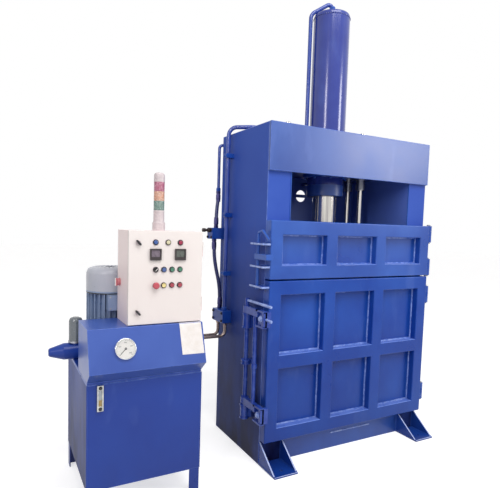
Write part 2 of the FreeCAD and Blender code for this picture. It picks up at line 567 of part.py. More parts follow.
def pipes():
    """The two lines up the left of the press, their blocks, hoses, clamps and the runs to the pack."""
    wall = -size("press_width") / 2
    top = size("press_height")
    port_high = (top - size("crosshead_height") + size("crosshead_recess")
                 - size("tube_drop") + size("rod_port_lift"))
    cap_high = port_high - size("rod_port_lift") + size("tube_length") + size("cap_height")
    x = wall - size("pipe_out")
    y = size("pipe_back")
    over = top + size("over_rise")
    rise = (-size("rise_left"), size("rise_back"))
    made("cap_side_pipe", tube_along([
        (x, y, size("manifold_high")), (x, y, over), (x + size("over_run"), size("over_back"), over),
        (*rise, over), (*rise, cap_high - size("turn_drop")), (0, 0, cap_high + size("elbow_rise")),
        (0, 0, cap_high + size("port_height"))],
        size("pipe_radius"), [size("pipe_bend")] * 4 + [size("elbow_bend")]))
    behind = size("press_depth") / 2 + size("rod_pipe_out")
    port = size("tube_radius") + size("port_height")
    run = top - size("rod_run_drop")
    hose_x = wall - size("hose_off")
    hose_top = top - size("hose_drop")
    made("rod_side_pipe", tube_along([
        (0, port, port_high), (0, behind, port_high), (0, behind, run), (hose_x, behind, run),
        (hose_x, behind, hose_top)], size("rod_pipe_radius"), [size("rod_bend")] * 3))
    # each hose: how far down it each point lies, and how far the point is moved left and forward
    fall = hose_top - top + size("block_drop")
    made("upper_hose", tube_along([
        (hose_x - left, behind - forward, hose_top - part * fall) for part, left, forward in (
            (0, 0, 0), (0.2, 0, 0), (0.5, 12, 5), (0.79, 19, 16), (1, 19, 16))], size("hose_radius"), None))
    foot = size("manifold_rear") - size("hose_inset")
    block_low = top - size("block_drop") - size("block_tall")
    fall = block_low - size("manifold_high")
    made("lower_hose", tube_along([
        (wall - left, foot + back, block_low - part * fall) for part, left, back in (
            (0, 60, 43), (0.2, 60, 43), (0.41, 47, 36), (0.62, 28, 16), (0.81, 24, 0), (1, 24, 0))],
        size("hose_radius"), None))
    high = size("tank_top") + size("lid_wall") + size("supply_rise")
    lines = []
    for line, (start_y, end_y) in enumerate(((foot, size("supply_spread")),
                                             (size("supply_front"), -size("supply_spread")))):
        low = size("supply_low") + line * size("supply_step")
        knee = -size("supply_knee") - line * size("knee_step")
        far = knee - size("supply_lean") + line * size("knee_step") / 2
        lines.append(tube_along([
            (x, start_y, size("manifold_low")), (x, start_y, low), (knee, start_y, low), (far, end_y, high),
            (-size("valve_right"), end_y, high)], size("supply_radius"), [size("supply_bend")] * 3))
    made("supply_pipes", Part.makeCompound(lines))
    manifold = block((f"-{side} - manifold_out", f"-{side}"), ("manifold_front", "manifold_rear"),
                     ("manifold_low", "manifold_high"))
    upper = block((f"-{side} - block_out", f"-{side}"), ("block_front", "block_rear"),
                  (f"{block_high} - block_tall", block_high))
    node("side_manifolds", group(manifold, upper))
    clamps = []
    for k in range(3):
        low = f"(press_height - clamp_drop - {k} * clamp_pitch)"
        clamp = block((f"-{side} - pipe_out - pipe_radius - clamp_wall", f"-{side}"),
                      ("pipe_back - clamp_width / 2", "pipe_back + clamp_width / 2"),
                      (low, f"{low} + clamp_height"))
        hole = bar("z", (f"-{side} - pipe_out", "pipe_back"), "pipe_radius + 0.2", f"{low} - 5",
                   f"{low} + clamp_height + 5")
        clamps.append(cut(clamp, hole))
    run_high = "(press_height - rod_run_drop)"
    for k in (1, 3):
        left = f"(-{side} * {k} / 4 - clamp_width / 2)"
        clamp = block((left, f"{left} + clamp_width"),
                      (rear, f"{rear} + rod_pipe_out + rod_pipe_radius + clamp_wall"),
                      (f"{run_high} - clamp_width / 2", f"{run_high} + clamp_width / 2"))
        hole = bar("x", (f"{rear} + rod_pipe_out", run_high), "rod_pipe_radius + 0.2", f"{left} - 5",
                   f"{left} + clamp_width + 5")
        clamps.append(cut(clamp, hole))
    node("pipe_clamps", group(*clamps))


def tank():
    """The oil tank on four angle legs, its lid, and the sheet console on the front."""
    shell = block(("-pack_left", "-pack_right"), ("-pack_front", "pack_rear"), ("tank_low", "tank_top"))
    hollow = block(("-pack_left + tank_wall", "-pack_right - tank_wall"),
                   ("-pack_front + tank_wall", "pack_rear - tank_wall"),
                   ("tank_low + tank_wall", "tank_top - tank_wall"))
    node("oil_tank", cut(shell, hollow))
    legs = []
    for x, sx in (("-pack_left", 1), ("-pack_right", -1)):
        for y, sy in (("-pack_front", 1), ("pack_rear", -1)):
            spans = []
            for start, sign, width in ((x, sx, "leg_width"), (y, sy, "leg_width")):
                spans.append((start, f"{start} + {width}") if sign > 0 else (f"{start} - {width}", start))
            thin = []
            for start, sign in ((x, sx), (y, sy)):
                thin.append((start, f"{start} + leg_wall") if sign > 0 else (f"{start} - leg_wall", start))
            legs.append(fuse(block(spans[0], thin[1], ("0", "tank_low")),
                             block(thin[0], spans[1], ("0", "tank_low"))))
    node("tank_legs", group(*legs))
    node("tank_lid", block(("-pack_left", "-pack_right"), ("-pack_front", "pack_rear"),
                           ("tank_top", lid_top)))
    shape = [("-pack_front", lid_top), ("-pack_front - lip_reach", "console_lip"),
             ("-pack_front", "console_top"),
             ("-pack_front + console_depth", "console_top"), ("-pack_front + console_depth", lid_top)]
    inside = [("-pack_front + sheet_wall", f"{lid_top} - 5"), ("-pack_front + sheet_wall", f"{lid_top} + 2"),
              ("-pack_front - lip_reach + sheet_wall * 1.5", "console_lip"),
              ("-pack_front + sheet_wall", "console_top - sheet_wall"),
              ("-pack_front + console_depth - sheet_wall", "console_top - sheet_wall"),
              ("-pack_front + console_depth - sheet_wall", f"{lid_top} - 5")]
    outer = padded(("-pack_left", "0", "0"), "YZ_Plane", shape, "pack_left - pack_right")
    void = padded(("-pack_left + sheet_wall", "0", "0"), "YZ_Plane", inside,
                  "pack_left - pack_right - 2 * sheet_wall")
    well = bar("z", ("-gauge_x", "0"), "1", "0", "1")
    tilt = console_turn()
    well.Placement.Rotation = tilt
    bind(well, "Radius", "gauge_radius - gauge_rim - 2")
    bind(well, "Height", "60")
    place(well, gauge_spot(-40))
    node("console_cover", cut(outer, void, well))


def console_turn():
    """The turn that carries +Z onto the console's sloping face."""
    fall = size("console_top") - size("console_lip")
    angle = math.degrees(math.atan2(fall, size("lip_reach")))
    return FreeCAD.Rotation(FreeCAD.Vector(1, 0, 0), angle)


def gauge_spot(rise):
    """A point on the gauge's axis, rise above the sloping face, as expressions."""
    fall = "(console_top - console_lip)"
    long = f"sqrt({fall} ^ 2 + lip_reach ^ 2)"
    return ("-gauge_x", f"-pack_front - gauge_along * lip_reach - ({rise}) * {fall} / {long}",
            f"console_top - gauge_along * {fall} + ({rise}) * lip_reach / {long}")


def gauge():
    """The pressure gauge: a rimmed case let into the slope, and its pointer."""
    tilt = console_turn()
    case = turned(gauge_spot("0"), [
        ("0", "-30"), ("gauge_radius - gauge_rim - 3", "-30"), ("gauge_radius - gauge_rim - 3", "0"),
        ("gauge_radius", "0"), ("gauge_radius", "gauge_rise"), ("gauge_radius - gauge_rim", "gauge_rise"),
        ("gauge_radius - gauge_rim", "gauge_rise - dial_drop"), ("0", "gauge_rise - dial_drop")])
    case.Placement.Rotation = tilt
    spindle = turned(gauge_spot("0"), [("0", "-1"), ("2", "-1"), ("2", "gauge_rise - dial_drop + 5"),
                                       ("0", "gauge_rise - dial_drop + 5")])
    spindle.Placement.Rotation = tilt
    node("gauge_case", fuse(case, spindle))
    level = "gauge_rise - dial_drop + 1"
    hub = turned(gauge_spot(level), [("2.06", "0"), ("needle_hub", "0"), ("needle_hub", "needle_wall + 1"),
                                     ("2.06", "needle_wall + 1")])
    hub.Placement.Rotation = tilt
    arm = padded(gauge_spot(level), "XY_Plane",
                 [("-needle_hub + 2", "-needle_wide / 2"), ("-needle_length", "-0.8"),
                  ("-needle_length", "0.8"),
                  ("-needle_hub + 2", "needle_wide / 2")], "needle_wall")
    arm.Placement.Rotation = tilt.multiply(FreeCAD.Rotation(FreeCAD.Vector(0, 0, 1), 45))
    node("gauge_needle", fuse(hub, arm))


def motor():
    """The upright motor on its bell housing, with its cowl, shaft and fan."""
    at = ("-motor_x", "-motor_y", "0")
    node("bell_housing", turned(at, [
        ("bell_radius - bell_wall", lid_top), ("bell_radius + 22", lid_top),
        ("bell_radius + 22", f"{lid_top} + 12"),
        ("bell_radius", f"{lid_top} + 12"), ("bell_radius", f"{motor_low} - 12"),
        ("motor_flange - 6", f"{motor_low} - 12"), ("motor_flange - 6", motor_low),
        ("bell_radius - bell_wall", motor_low)]))
    shell = turned(at, [
        ("shaft_radius + shaft_gap", motor_low), ("motor_flange", motor_low),
        ("motor_flange", f"{motor_low} + motor_flange_height"),
        ("core_radius", f"{motor_low} + motor_flange_height"), ("core_radius", "cowl_low - 8"),
        ("cowl_radius", "cowl_low - 8"), ("cowl_radius", "cowl_low"),
        ("shaft_radius + shaft_gap", "cowl_low")])
    profile = outline(shell, "XY_Plane", [
        ("core_radius - 1", "-fin_wall / 2"), ("fin_radius", "-fin_wall / 2"),
        ("fin_radius", "fin_wall / 2"), ("core_radius - 1", "fin_wall / 2")])
    bind(profile, "AttachmentOffset.Base.z", "fin_low")
    fin = shell.newObject("PartDesign::Pad", "Fin")
    fin.Profile = profile
    bind(fin, "Length", "fin_high - fin_low")
    ring = shell.newObject("PartDesign::PolarPattern", "Fins")
    ring.Originals = [fin]
    ring.Axis = (next(f for f in shell.Origin.OriginFeatures if f.Role == "Z_Axis"), [""])
    ring.Angle = 360
    bind(ring, "Occurrences", "fin_count")
    shell.Tip = ring
    terminal = block(("-motor_x - box_wide / 2", "-motor_x + box_wide / 2"),
                     ("-box_front", "-motor_y - core_radius + 4"),
                     ("box_low", "box_low + box_tall"))
    node("motor_frame", fuse(shell, terminal))
    cowl = turned(at, [
        ("cowl_radius - cowl_wall", "cowl_low"), ("cowl_radius", "cowl_low"),
        ("cowl_radius", "cowl_top - cowl_round"),
        ("cowl_radius - 0.29 * cowl_round", "cowl_top - 0.29 * cowl_round"),
        ("cowl_radius - cowl_round", "cowl_top"), ("fan_hub", "cowl_top"),
        ("fan_hub", "cowl_top - cowl_wall"),
        ("cowl_radius - cowl_round", "cowl_top - cowl_wall"),
        ("cowl_radius - cowl_wall - 0.29 * cowl_round", "cowl_top - cowl_wall - 0.29 * cowl_round"),
        ("cowl_radius - cowl_wall", "cowl_top - cowl_round")])
    count = int(size("grille_slots"))
    slots = [spoke(at, k * 360 / count, "slot_inner", "slot_outer", "slot_wide", "cowl_top - cowl_wall - 5",
                   "cowl_top + 5") for k in range(count)]
    node("fan_cowl", cut(cowl, *slots))
    shaft = turned(at, [("0", "shaft_low"), ("shaft_radius", "shaft_low"), ("shaft_radius", "fan_low"),
                        ("fan_hub", "fan_low"), ("fan_hub", "fan_low + fan_height"),
                        ("0", "fan_low + fan_height")])
    count = int(size("fan_blades"))
    blades = [spoke(at, k * 360 / count, "fan_hub - 4", "fan_radius", "fin_wall", "fan_low",
                    "fan_low + fan_height")
              for k in range(count)]
    node("motor_rotor", fuse(shaft, *blades))


def tank_fittings():
    """Return filter on the left, valve block at the back right, and the level gauge in front."""
    shell = turned(("-head_x + head_boss", "head_y", "head_high"), [
        ("0", "0"), ("head_radius", "0"), ("head_radius", "head_barrel"), ("head_nose", "head_length - 7"),
        ("head_nose - 7", "head_length"), ("0", "head_length")])
    shell.Placement.Rotation = FreeCAD.Rotation(FreeCAD.Vector(0, 1, 0), -90)
    boss = bar("z", ("-head_x", "head_y"), "head_boss", "head_high", "head_high + head_radius + seat_rise")
    foot = block(("-pack_left + 4", "-head_x + head_boss"), ("head_y - 18", "head_y + 18"),
                 (lid_top, "head_high"))
    node("filter_head", fuse(shell, boss, foot))
    base = "(head_high + head_radius + seat_rise)"
    node("filter_canister", turned(("-head_x", "head_y", "0"), [
        ("0", base), ("canister_radius", base),
        ("canister_radius", f"{base} + canister_height - canister_round"),
        ("canister_radius - 0.29 * canister_round", f"{base} + canister_height - 0.29 * canister_round"),
        ("canister_radius - canister_round", f"{base} + canister_height"),
        ("0", f"{base} + canister_height")]))
    node("valve_block", block(("-valve_left", "-valve_right"), ("-valve_front", "valve_rear"),
                              (lid_top, f"{lid_top} + valve_height")))
    window = block(("-level_left + 8", "-level_left + level_wide - 8"),
                   ("-pack_front - level_out - 1", "-pack_front - 7"),
                   ("level_low + 26", "level_low + level_tall - 26"))
    node("level_gauge", cut(block(("-level_left", "-level_left + level_wide"),
                                  ("-pack_front - level_out", "-pack_front"),
                                  ("level_low", "level_low + level_tall")), window))


def case_hinges():
    """Two pin hinges on the cabinet's right side: the case's halves, and the door's halves."""
    fixed, swinging = [], []
    wall = "-case_right"
    x = f"({wall} + case_hinge_out)"
    y = f"({case_face} - case_seam)"
    for sign, end in ((1, "console_top + case_hinge_drop"), (-1, "case_top - case_hinge_drop")):
        middle = f"({end})"
        low, high = f"({middle} - hinge_leaf)", f"({middle} + hinge_leaf)"
        barrel = bar("z", (x, y), "case_hinge", low, middle)
        leaf = block((wall, x), (f"{case_face} + 1", f"{case_face} + leaf_back"), (low, middle))
        neck = block((f"{x} - case_pin", x), (y, f"{case_face} + 2"), (low, middle))
        pin = bar("z", (x, y), "case_pin", low, f"{high} - 4")
        fixed.append(fuse(barrel, leaf, neck, pin))
        start = f"({middle} + face_gap)"
        barrel = bar("z", (x, y), "case_hinge", start, high)
        leaf = block((wall, x), (case_skin, f"{y} - 1"), (start, high))
        neck = block((f"{x} - case_pin - 1", x), (f"{y} - 2", y), (start, high))
        hole = bar("z", (x, y), "case_pin + case_pin_gap", f"{start} - 5", f"{high} + 5")
        swinging.append(cut(fuse(barrel, leaf, neck), hole))
    return fixed, swinging


def control_box():
    """The sheet steel case with its front lip, and the pan door hinged on its right edge."""
    fixed, swinging = case_hinges()
    shell = block(("-case_left", "-case_right"), (f"{case_face} + case_wall", "-case_rear"),
                  ("console_top", "case_top"))
    hollow = block(("-case_left + case_wall", "-case_right - case_wall"),
                   (f"{case_face} - 5", "-case_rear - case_wall"),
                   ("console_top + case_wall", "case_top - case_wall"))
    lip = block(("-case_left", "-case_right"), (case_face, f"{case_face} + case_wall"),
                ("console_top", "case_top"))
    mouth = block(("-case_left + case_lip", "-case_right - case_lip"),
                  (f"{case_face} - 5", f"{case_face} + 10"),
                  ("console_top + case_lip", "case_top - case_lip"))
    node("control_box", group(cut(shell, hollow), cut(lip, mouth), *fixed))
    pan = block(("-case_left", "-case_right"), (case_skin, f"{case_skin} + case_door"),
                ("console_top + case_lift", "case_top"))
    inside = block(("-case_left + case_wall", "-case_right - case_wall"),
                   (f"{case_skin} + case_wall", f"{case_skin} + case_door + 5"),
                   ("console_top + case_lift + case_wall", "case_top - case_wall"))
    holes = []
    for x, z in button_spots:
        holes.append(bar("y", (x, z), "stem_radius + stem_gap", f"{case_skin} - 5", f"{case_skin} + 12"))
    for z in ("lock_high", "lock_low"):
        holes.append(bar("y", ("-lock_x", z), "lock_stem + stem_gap", f"{case_skin} - 5",
                         f"{case_skin} + 12"))
    node("control_door", group(cut(pan, inside, *holes), *swinging))
    parts = []
    for k in range(3):
        x = f"(-button_x - {k} * lamp_pitch)"
        parts.append(fuse(bar("y", (x, "lamp_high"), "bezel_radius", f"{case_skin} - bezel_height",
                              case_skin),
                          bar("y", (x, "lamp_high"), "cap_radius", f"{case_skin} - cap_out",
                              f"{case_skin} - 1")))
    for k in range(2):
        x = f"(-button_x - {k} * meter_pitch)"
        half = "meter_size / 2"
        frame = block((f"{x} - {half}", f"{x} + {half}"), (f"{case_skin} - meter_out", case_skin),
                      (f"meter_high - {half}", f"meter_high + {half}"))
        glass = block((f"{x} - {half} + 6", f"{x} + {half} - 6"),
                      (f"{case_skin} - meter_out - 1", f"{case_skin} - meter_out + 4"),
                      (f"meter_high - {half} + 16", f"meter_high + {half} - 6"))
        parts.append(cut(frame, glass))
    for x, z in button_spots:
        ring = bar("y", (x, z), "bezel_radius", f"{case_skin} - bezel_height", case_skin)
        eye = bar("y", (x, z), "cap_radius + cap_gap", f"{case_skin} - bezel_height - 5", f"{case_skin} + 5")
        parts.append(cut(ring, eye))
    node("panel_instruments", group(*parts))


def stemmed(x, z, head):
    """A control through the door skin: its head outside, a stem and a nut inside."""
    stem = bar("y", (x, z), "stem_radius", f"{case_skin} - button_travel - 1", f"{case_skin} + case_wall + 6")
    nut = bar("y", (x, z), "stem_radius + 3", f"{case_skin} + case_wall + face_gap",
              f"{case_skin} + case_wall + face_gap + 4")
    return fuse(stem, nut, *head)


def controls():
    """Selector, seven push buttons, two door locks and the main switch."""
    names = ("selector_switch", "blue_button", "left_green_button", "right_green_button",
             "emergency_stop", "yellow_button", "left_red_button", "right_red_button")
    for name, (x, z) in zip(names, button_spots):
        back = f"({case_skin} - button_travel - 0.8)"
        if name == "emergency_stop":
            head = [bar("y", (x, z), "mushroom_radius", f"{case_skin} - mushroom_out", f"{case_skin} - 13"),
                    bar("y", (x, z), "stem_radius + 3", f"{case_skin} - 14", back)]
        elif name == "selector_switch":
            head = [bar("y", (x, z), "cap_radius", f"{case_skin} - cap_out", back),
                    block((f"{x} - 3", f"{x} + 3"),
                          (f"{case_skin} - cap_out - 8", f"{case_skin} - cap_out + 1"),
                          (f"{z} - 10", f"{z} + 10"))]
        else:
            head = [bar("y", (x, z), "cap_radius", f"{case_skin} - cap_out", back)]
        node(name, stemmed(x, z, head))
    for name, z in (("top_door_lock", "lock_high"), ("bottom_door_lock", "lock_low")):
        disc = bar("y", ("-lock_x", z), "lock_disc", f"{case_skin} - 4", f"{case_skin} - face_gap")
        wing = block(("-lock_x - 5", "-lock_x + 5"), (f"{case_skin} - 16", f"{case_skin} - 3"),
                     (f"{z} - lock_wing / 2", f"{z} + lock_wing / 2"))
        stem = bar("y", ("-lock_x", z), "lock_stem", f"{case_skin} - 1",
                   f"{case_face} + case_wall + 1 + cam_wall")
        cam = block(("-lock_x - cam_wide / 2", "-lock_x + cam_wide / 2"),
                    (f"{case_face} + case_wall + 1", f"{case_face} + case_wall + 1 + cam_wall"),
                    (f"{z} - cam_wide / 2", f"{z} + cam_length"))
        node(name, fuse(disc, wing, stem, cam))
    knob = bar("x", ("-switch_back", "switch_high"), "switch_radius", "-case_left - 14",
               "-case_left - face_gap")
    grip = block(("-case_left - switch_out", "-case_left - 13"), ("-switch_back - 5", "-switch_back + 5"),
                 ("switch_high - switch_radius", "switch_high + switch_radius"))
    node("main_switch", fuse(knob, grip))


def stack_light():
    """The signal stack: base, core and cap in one, with three lens rings round the core."""
    top = "(stack_base_top + 3 * lens_height + 4 * lens_gap)"
    at = ("-stack_x", "-stack_y", "0")
    node("stack_light_body", turned(at, [
        ("0", "case_top"), ("stack_base", "case_top"), ("stack_base", "case_top + 44"),
        ("stack_lens", "case_top + 50"), ("stack_lens", "stack_base_top"), ("stack_core", "stack_base_top"),
        ("stack_core", top), ("stack_lens", top), ("stack_lens", f"{top} + stack_cap - 14"),
        ("stack_lens - 12", f"{top} + stack_cap"), ("0", f"{top} + stack_cap")]))
    rings = []
    for k in range(3):
        low = f"(stack_base_top + lens_gap + {k} * (lens_height + lens_gap))"
        rings.append(turned(at, [("stack_core + lens_gap", low), ("stack_lens", low),
                                 ("stack_lens", f"{low} + lens_height"),
                                 ("stack_core + lens_gap", f"{low} + lens_height")]))
    node("stack_light_lenses", group(*rings))


guides = [(f"{sign} * guide_spread", y) for sign in (-1, 1) for y in ("0", "guide_back")]
tie_rows = (-2, -1, 0, 1, 2)
button_spots = [(f"(-button_x - {k} * button_pitch)", row) for row in ("row_high", "row_low")
                for k in (3, 2, 1, 0)]

side_frame("left_side_frame", -1)
side_frame("right_side_frame", 1)
back_wall()
crosshead()
base_frame()
node("front_feet", group(front_foot(-1), front_foot(1)))
cylinder()
ram()
seam_low = "(door_split - door_seam / 2)"
seam_high = "(door_split + door_seam / 2)"
door("upper", seam_high, "upper_top",
     [(seam_high, f"{seam_high} + rib_width"), ("upper_top - rib_width", "upper_top")],
     ("hinge_mid", "hinge_high"))
middle = f"(door_low + ({seam_low} - door_low) / 2)"
door("lower", "door_low", seam_low, [("door_low", "door_low + rib_width"),
                                     (f"{middle} - middle_rail / 2", f"{middle} + middle_rail / 2"),
                                     (f"{seam_low} - rib_width", seam_low)], ("hinge_low", "hinge_low_top"))
node("hinge_lugs", group(*[hinge_lug(h) for h in ("hinge_low", "hinge_low_top", "hinge_mid", "hinge_high")]))
lock()
upper_latch()
pipes()
tank()
gauge()
motor()
tank_fittings()
control_box()
controls()
stack_light()

doc.recompute()
faults = []
for item in doc.Objects:
    if "Invalid" in item.State or "Error" in item.State:
        faults.append(f"{item.Label}: {item.State}")
for label, item in nodes.items():
    if item.Shape.isNull() or not item.Shape.isValid() or not item.Shape.Solids:
        faults.append(f"{label}: shape is not a valid solid")
if faults:
    raise RuntimeError("\n".join(faults))

os.makedirs("parts", exist_ok=True)
for label, item in nodes.items():
    item.Shape.exportStep(f"parts/{label}.step")
print(len(nodes), "pieces written")
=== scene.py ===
import bpy
import bmesh
import json
import random
from math import cos, hypot, pi, radians, sin
from mathutils import Matrix, Vector


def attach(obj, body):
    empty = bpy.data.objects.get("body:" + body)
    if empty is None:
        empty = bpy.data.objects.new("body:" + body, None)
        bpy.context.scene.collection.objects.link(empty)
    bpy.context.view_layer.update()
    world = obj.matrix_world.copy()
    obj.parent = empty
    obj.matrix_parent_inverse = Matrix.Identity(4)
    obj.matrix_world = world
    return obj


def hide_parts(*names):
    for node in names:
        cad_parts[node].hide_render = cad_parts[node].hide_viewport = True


# The baler's looks: paint, chrome, hoses, welds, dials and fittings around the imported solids.

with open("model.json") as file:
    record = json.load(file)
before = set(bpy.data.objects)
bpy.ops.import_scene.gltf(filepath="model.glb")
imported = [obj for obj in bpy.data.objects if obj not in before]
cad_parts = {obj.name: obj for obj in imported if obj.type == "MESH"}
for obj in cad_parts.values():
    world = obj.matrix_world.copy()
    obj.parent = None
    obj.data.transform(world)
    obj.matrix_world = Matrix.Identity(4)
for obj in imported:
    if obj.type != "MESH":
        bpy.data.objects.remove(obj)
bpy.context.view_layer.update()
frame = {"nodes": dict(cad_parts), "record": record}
nodes = frame["nodes"]
bodyOf = {n: b for b, group in frame["record"]["behaviour"]["bodies"].items() for n in group}
slotOf = {s["node"]: s["material_slot"] for s in frame["record"]["subparts"]}
random.seed(7)
print("frame loaded:", len(nodes), "solids")


def srgb(red, green, blue):
    # 0 to 255 as on screen, to the linear value the shader wants
    channels = []
    for value in (red, green, blue):
        share = value / 255
        channels.append(share / 12.92 if share <= 0.04045 else ((share + 0.055) / 1.055) ** 2.4)
    return (*channels, 1.0)


# camera at the photograph's angle

view = {
    "at": (-2.123, -2.788, 1.492), "yaw": 28.607, "pitch": -4.24, "roll": 1.789,
    "lens": 33.815, "sensor": 36, "rise": 0.036,
}


def makeCamera():
    camera = bpy.data.cameras.new("camera")
    camera.sensor_width = view["sensor"]
    camera.lens = view["lens"]
    camera.shift_y = view["rise"]
    holder = bpy.data.objects.new("camera", camera)
    turn = (Matrix.Rotation(radians(-view["yaw"]), 4, "Z")
            @ Matrix.Rotation(radians(90 + view["pitch"]), 4, "X")
            @ Matrix.Rotation(radians(view["roll"]), 4, "Z"))
    holder.matrix_world = Matrix.Translation(view["at"]) @ turn
    bpy.context.scene.collection.objects.link(holder)
    bpy.context.scene.camera = holder


makeCamera()
print("camera set")


# materials

def startMaterial(name):
    material = bpy.data.materials.new(name)
    material.use_nodes = True
    tree = material.node_tree
    shader = tree.nodes["Principled BSDF"]
    coordinates = tree.nodes.new("ShaderNodeTexCoord")
    return material, tree, shader, coordinates.outputs["Object"]


def addNoise(tree, vector, scale, detail=3.0, stretch=(1, 1, 1)):
    mapping = tree.nodes.new("ShaderNodeMapping")
    mapping.inputs["Scale"].default_value = stretch
    tree.links.new(vector, mapping.inputs["Vector"])
    noise = tree.nodes.new("ShaderNodeTexNoise")
    noise.inputs["Scale"].default_value = scale
    noise.inputs["Detail"].default_value = detail
    tree.links.new(mapping.outputs["Vector"], noise.inputs["Vector"])
    return noise.outputs["Fac"]


def addRange(tree, value, low, high, newLow, newHigh):
    node = tree.nodes.new("ShaderNodeMapRange")
    node.inputs["From Min"].default_value = low
    node.inputs["From Max"].default_value = high
    node.inputs["To Min"].default_value = newLow
    node.inputs["To Max"].default_value = newHigh
    tree.links.new(value, node.inputs["Value"])
    return node.outputs["Result"]


def addMath(tree, kind, first, second):
    node = tree.nodes.new("ShaderNodeMath")
    node.operation = kind
    for socket, value in zip(node.inputs, (first, second)):
        if isinstance(value, (int, float)):
            socket.default_value = value
        else:
            tree.links.new(value, socket)
    return node.outputs[0]


def addMix(tree, factor, first, second):
    node = tree.nodes.new("ShaderNodeMix")
    node.data_type = "RGBA"
    for socket, value in ((node.inputs["Factor"], factor), (node.inputs["A"], first),
                          (node.inputs["B"], second)):
        if isinstance(value, (int, float, tuple)):
            socket.default_value = value
        else:
            tree.links.new(value, socket)
    return node.outputs["Result"]


def addBump(tree, shader, height, strength, distance):
    node = tree.nodes.new("ShaderNodeBump")
    node.inputs["Strength"].default_value = strength
    node.inputs["Distance"].default_value = distance
    tree.links.new(height, node.inputs["Height"])
    tree.links.new(node.outputs["Normal"], shader.inputs["Normal"])


def sprayedPaint(name, look):
    # enamel over plate: clouds of tone, orange peel, rubbed places, and a darkening towards the bottom that is
    # part dust and part painted shade
    material, tree, shader, place = startMaterial(name)
    cloud = addNoise(tree, place, look["cloudSize"], 4.0)
    tone = addMix(tree, addRange(tree, cloud, 0.35, 0.68, 0, 1), look["colour"], look["second"])
    scuff = addNoise(tree, place, look["scuffSize"], 6.0, (1, 1, 0.35))
    tone = addMix(tree, addRange(tree, scuff, 0.6, 0.72, 0, look["scuff"]), tone, look["scuffColour"])
    # darker towards the bottom: part dust, part painted shade
    height = tree.nodes.new("ShaderNodeSeparateXYZ")
    tree.links.new(place, height.inputs["Vector"])
    low = addRange(tree, height.outputs["Z"], look["dustAndShadeTop"], 0.0, 0, 1)
    dustAndShade = addMath(tree, "MULTIPLY", low,
                    addRange(tree, scuff, 0.3, 0.62, look["dustAndShade"] * 0.6, look["dustAndShade"]))
    tone = addMix(tree, dustAndShade, tone, look["dustAndShadeColour"])
    tree.links.new(tone, shader.inputs["Base Color"])
    fine = addNoise(tree, place, look["peelSize"], 2.0)
    rough = addRange(tree, cloud, 0.3, 0.7, *look["roughness"])
    tree.links.new(rough, shader.inputs["Roughness"])
    shader.inputs["Specular IOR Level"].default_value = look["specular"]
    shader.inputs["Coat Weight"].default_value = look["coat"]
    shader.inputs["Coat Roughness"].default_value = look["coatRoughness"]
    addBump(tree, shader, fine, look["peel"], 0.002)
    return material


def bareMetal(name, look):
    # fine streaks along the turning or grinding, and a thin oil film; drawn out long on the chrome, the light
    # and dark bands are painted reflection
    material, tree, shader, place = startMaterial(name)
    streakAndReflection = addNoise(tree, place, look["streakSize"], 4.0, look["stretch"])
    tone = addMix(tree, addRange(tree, streakAndReflection, 0.35, 0.65, 0, 1), look["colour"], look["second"])
    tree.links.new(tone, shader.inputs["Base Color"])
    shader.inputs["Metallic"].default_value = 1.0
    rough = addRange(tree, streakAndReflection, 0.3, 0.7, *look["roughness"])
    tree.links.new(rough, shader.inputs["Roughness"])
    addBump(tree, shader, streakAndReflection, look["bump"], 0.001)
    return material


def mouldedPlastic(name, look):
    # even colour, a fine moulding grain, and a sheen where fingers have rubbed it
    material, tree, shader, place = startMaterial(name)
    grain = addNoise(tree, place, look["grainSize"], 3.0)
    tone = addMix(tree, addRange(tree, grain, 0.35, 0.65, 0, 1), look["colour"], look["second"])
    tree.links.new(tone, shader.inputs["Base Color"])
    wear = addNoise(tree, place, 60, 3.0)
    tree.links.new(addRange(tree, wear, 0.35, 0.7, *look["roughness"]), shader.inputs["Roughness"])
    shader.inputs["Transmission Weight"].default_value = look["clear"]
    addBump(tree, shader, grain, look["bump"], 0.0005)
    return material


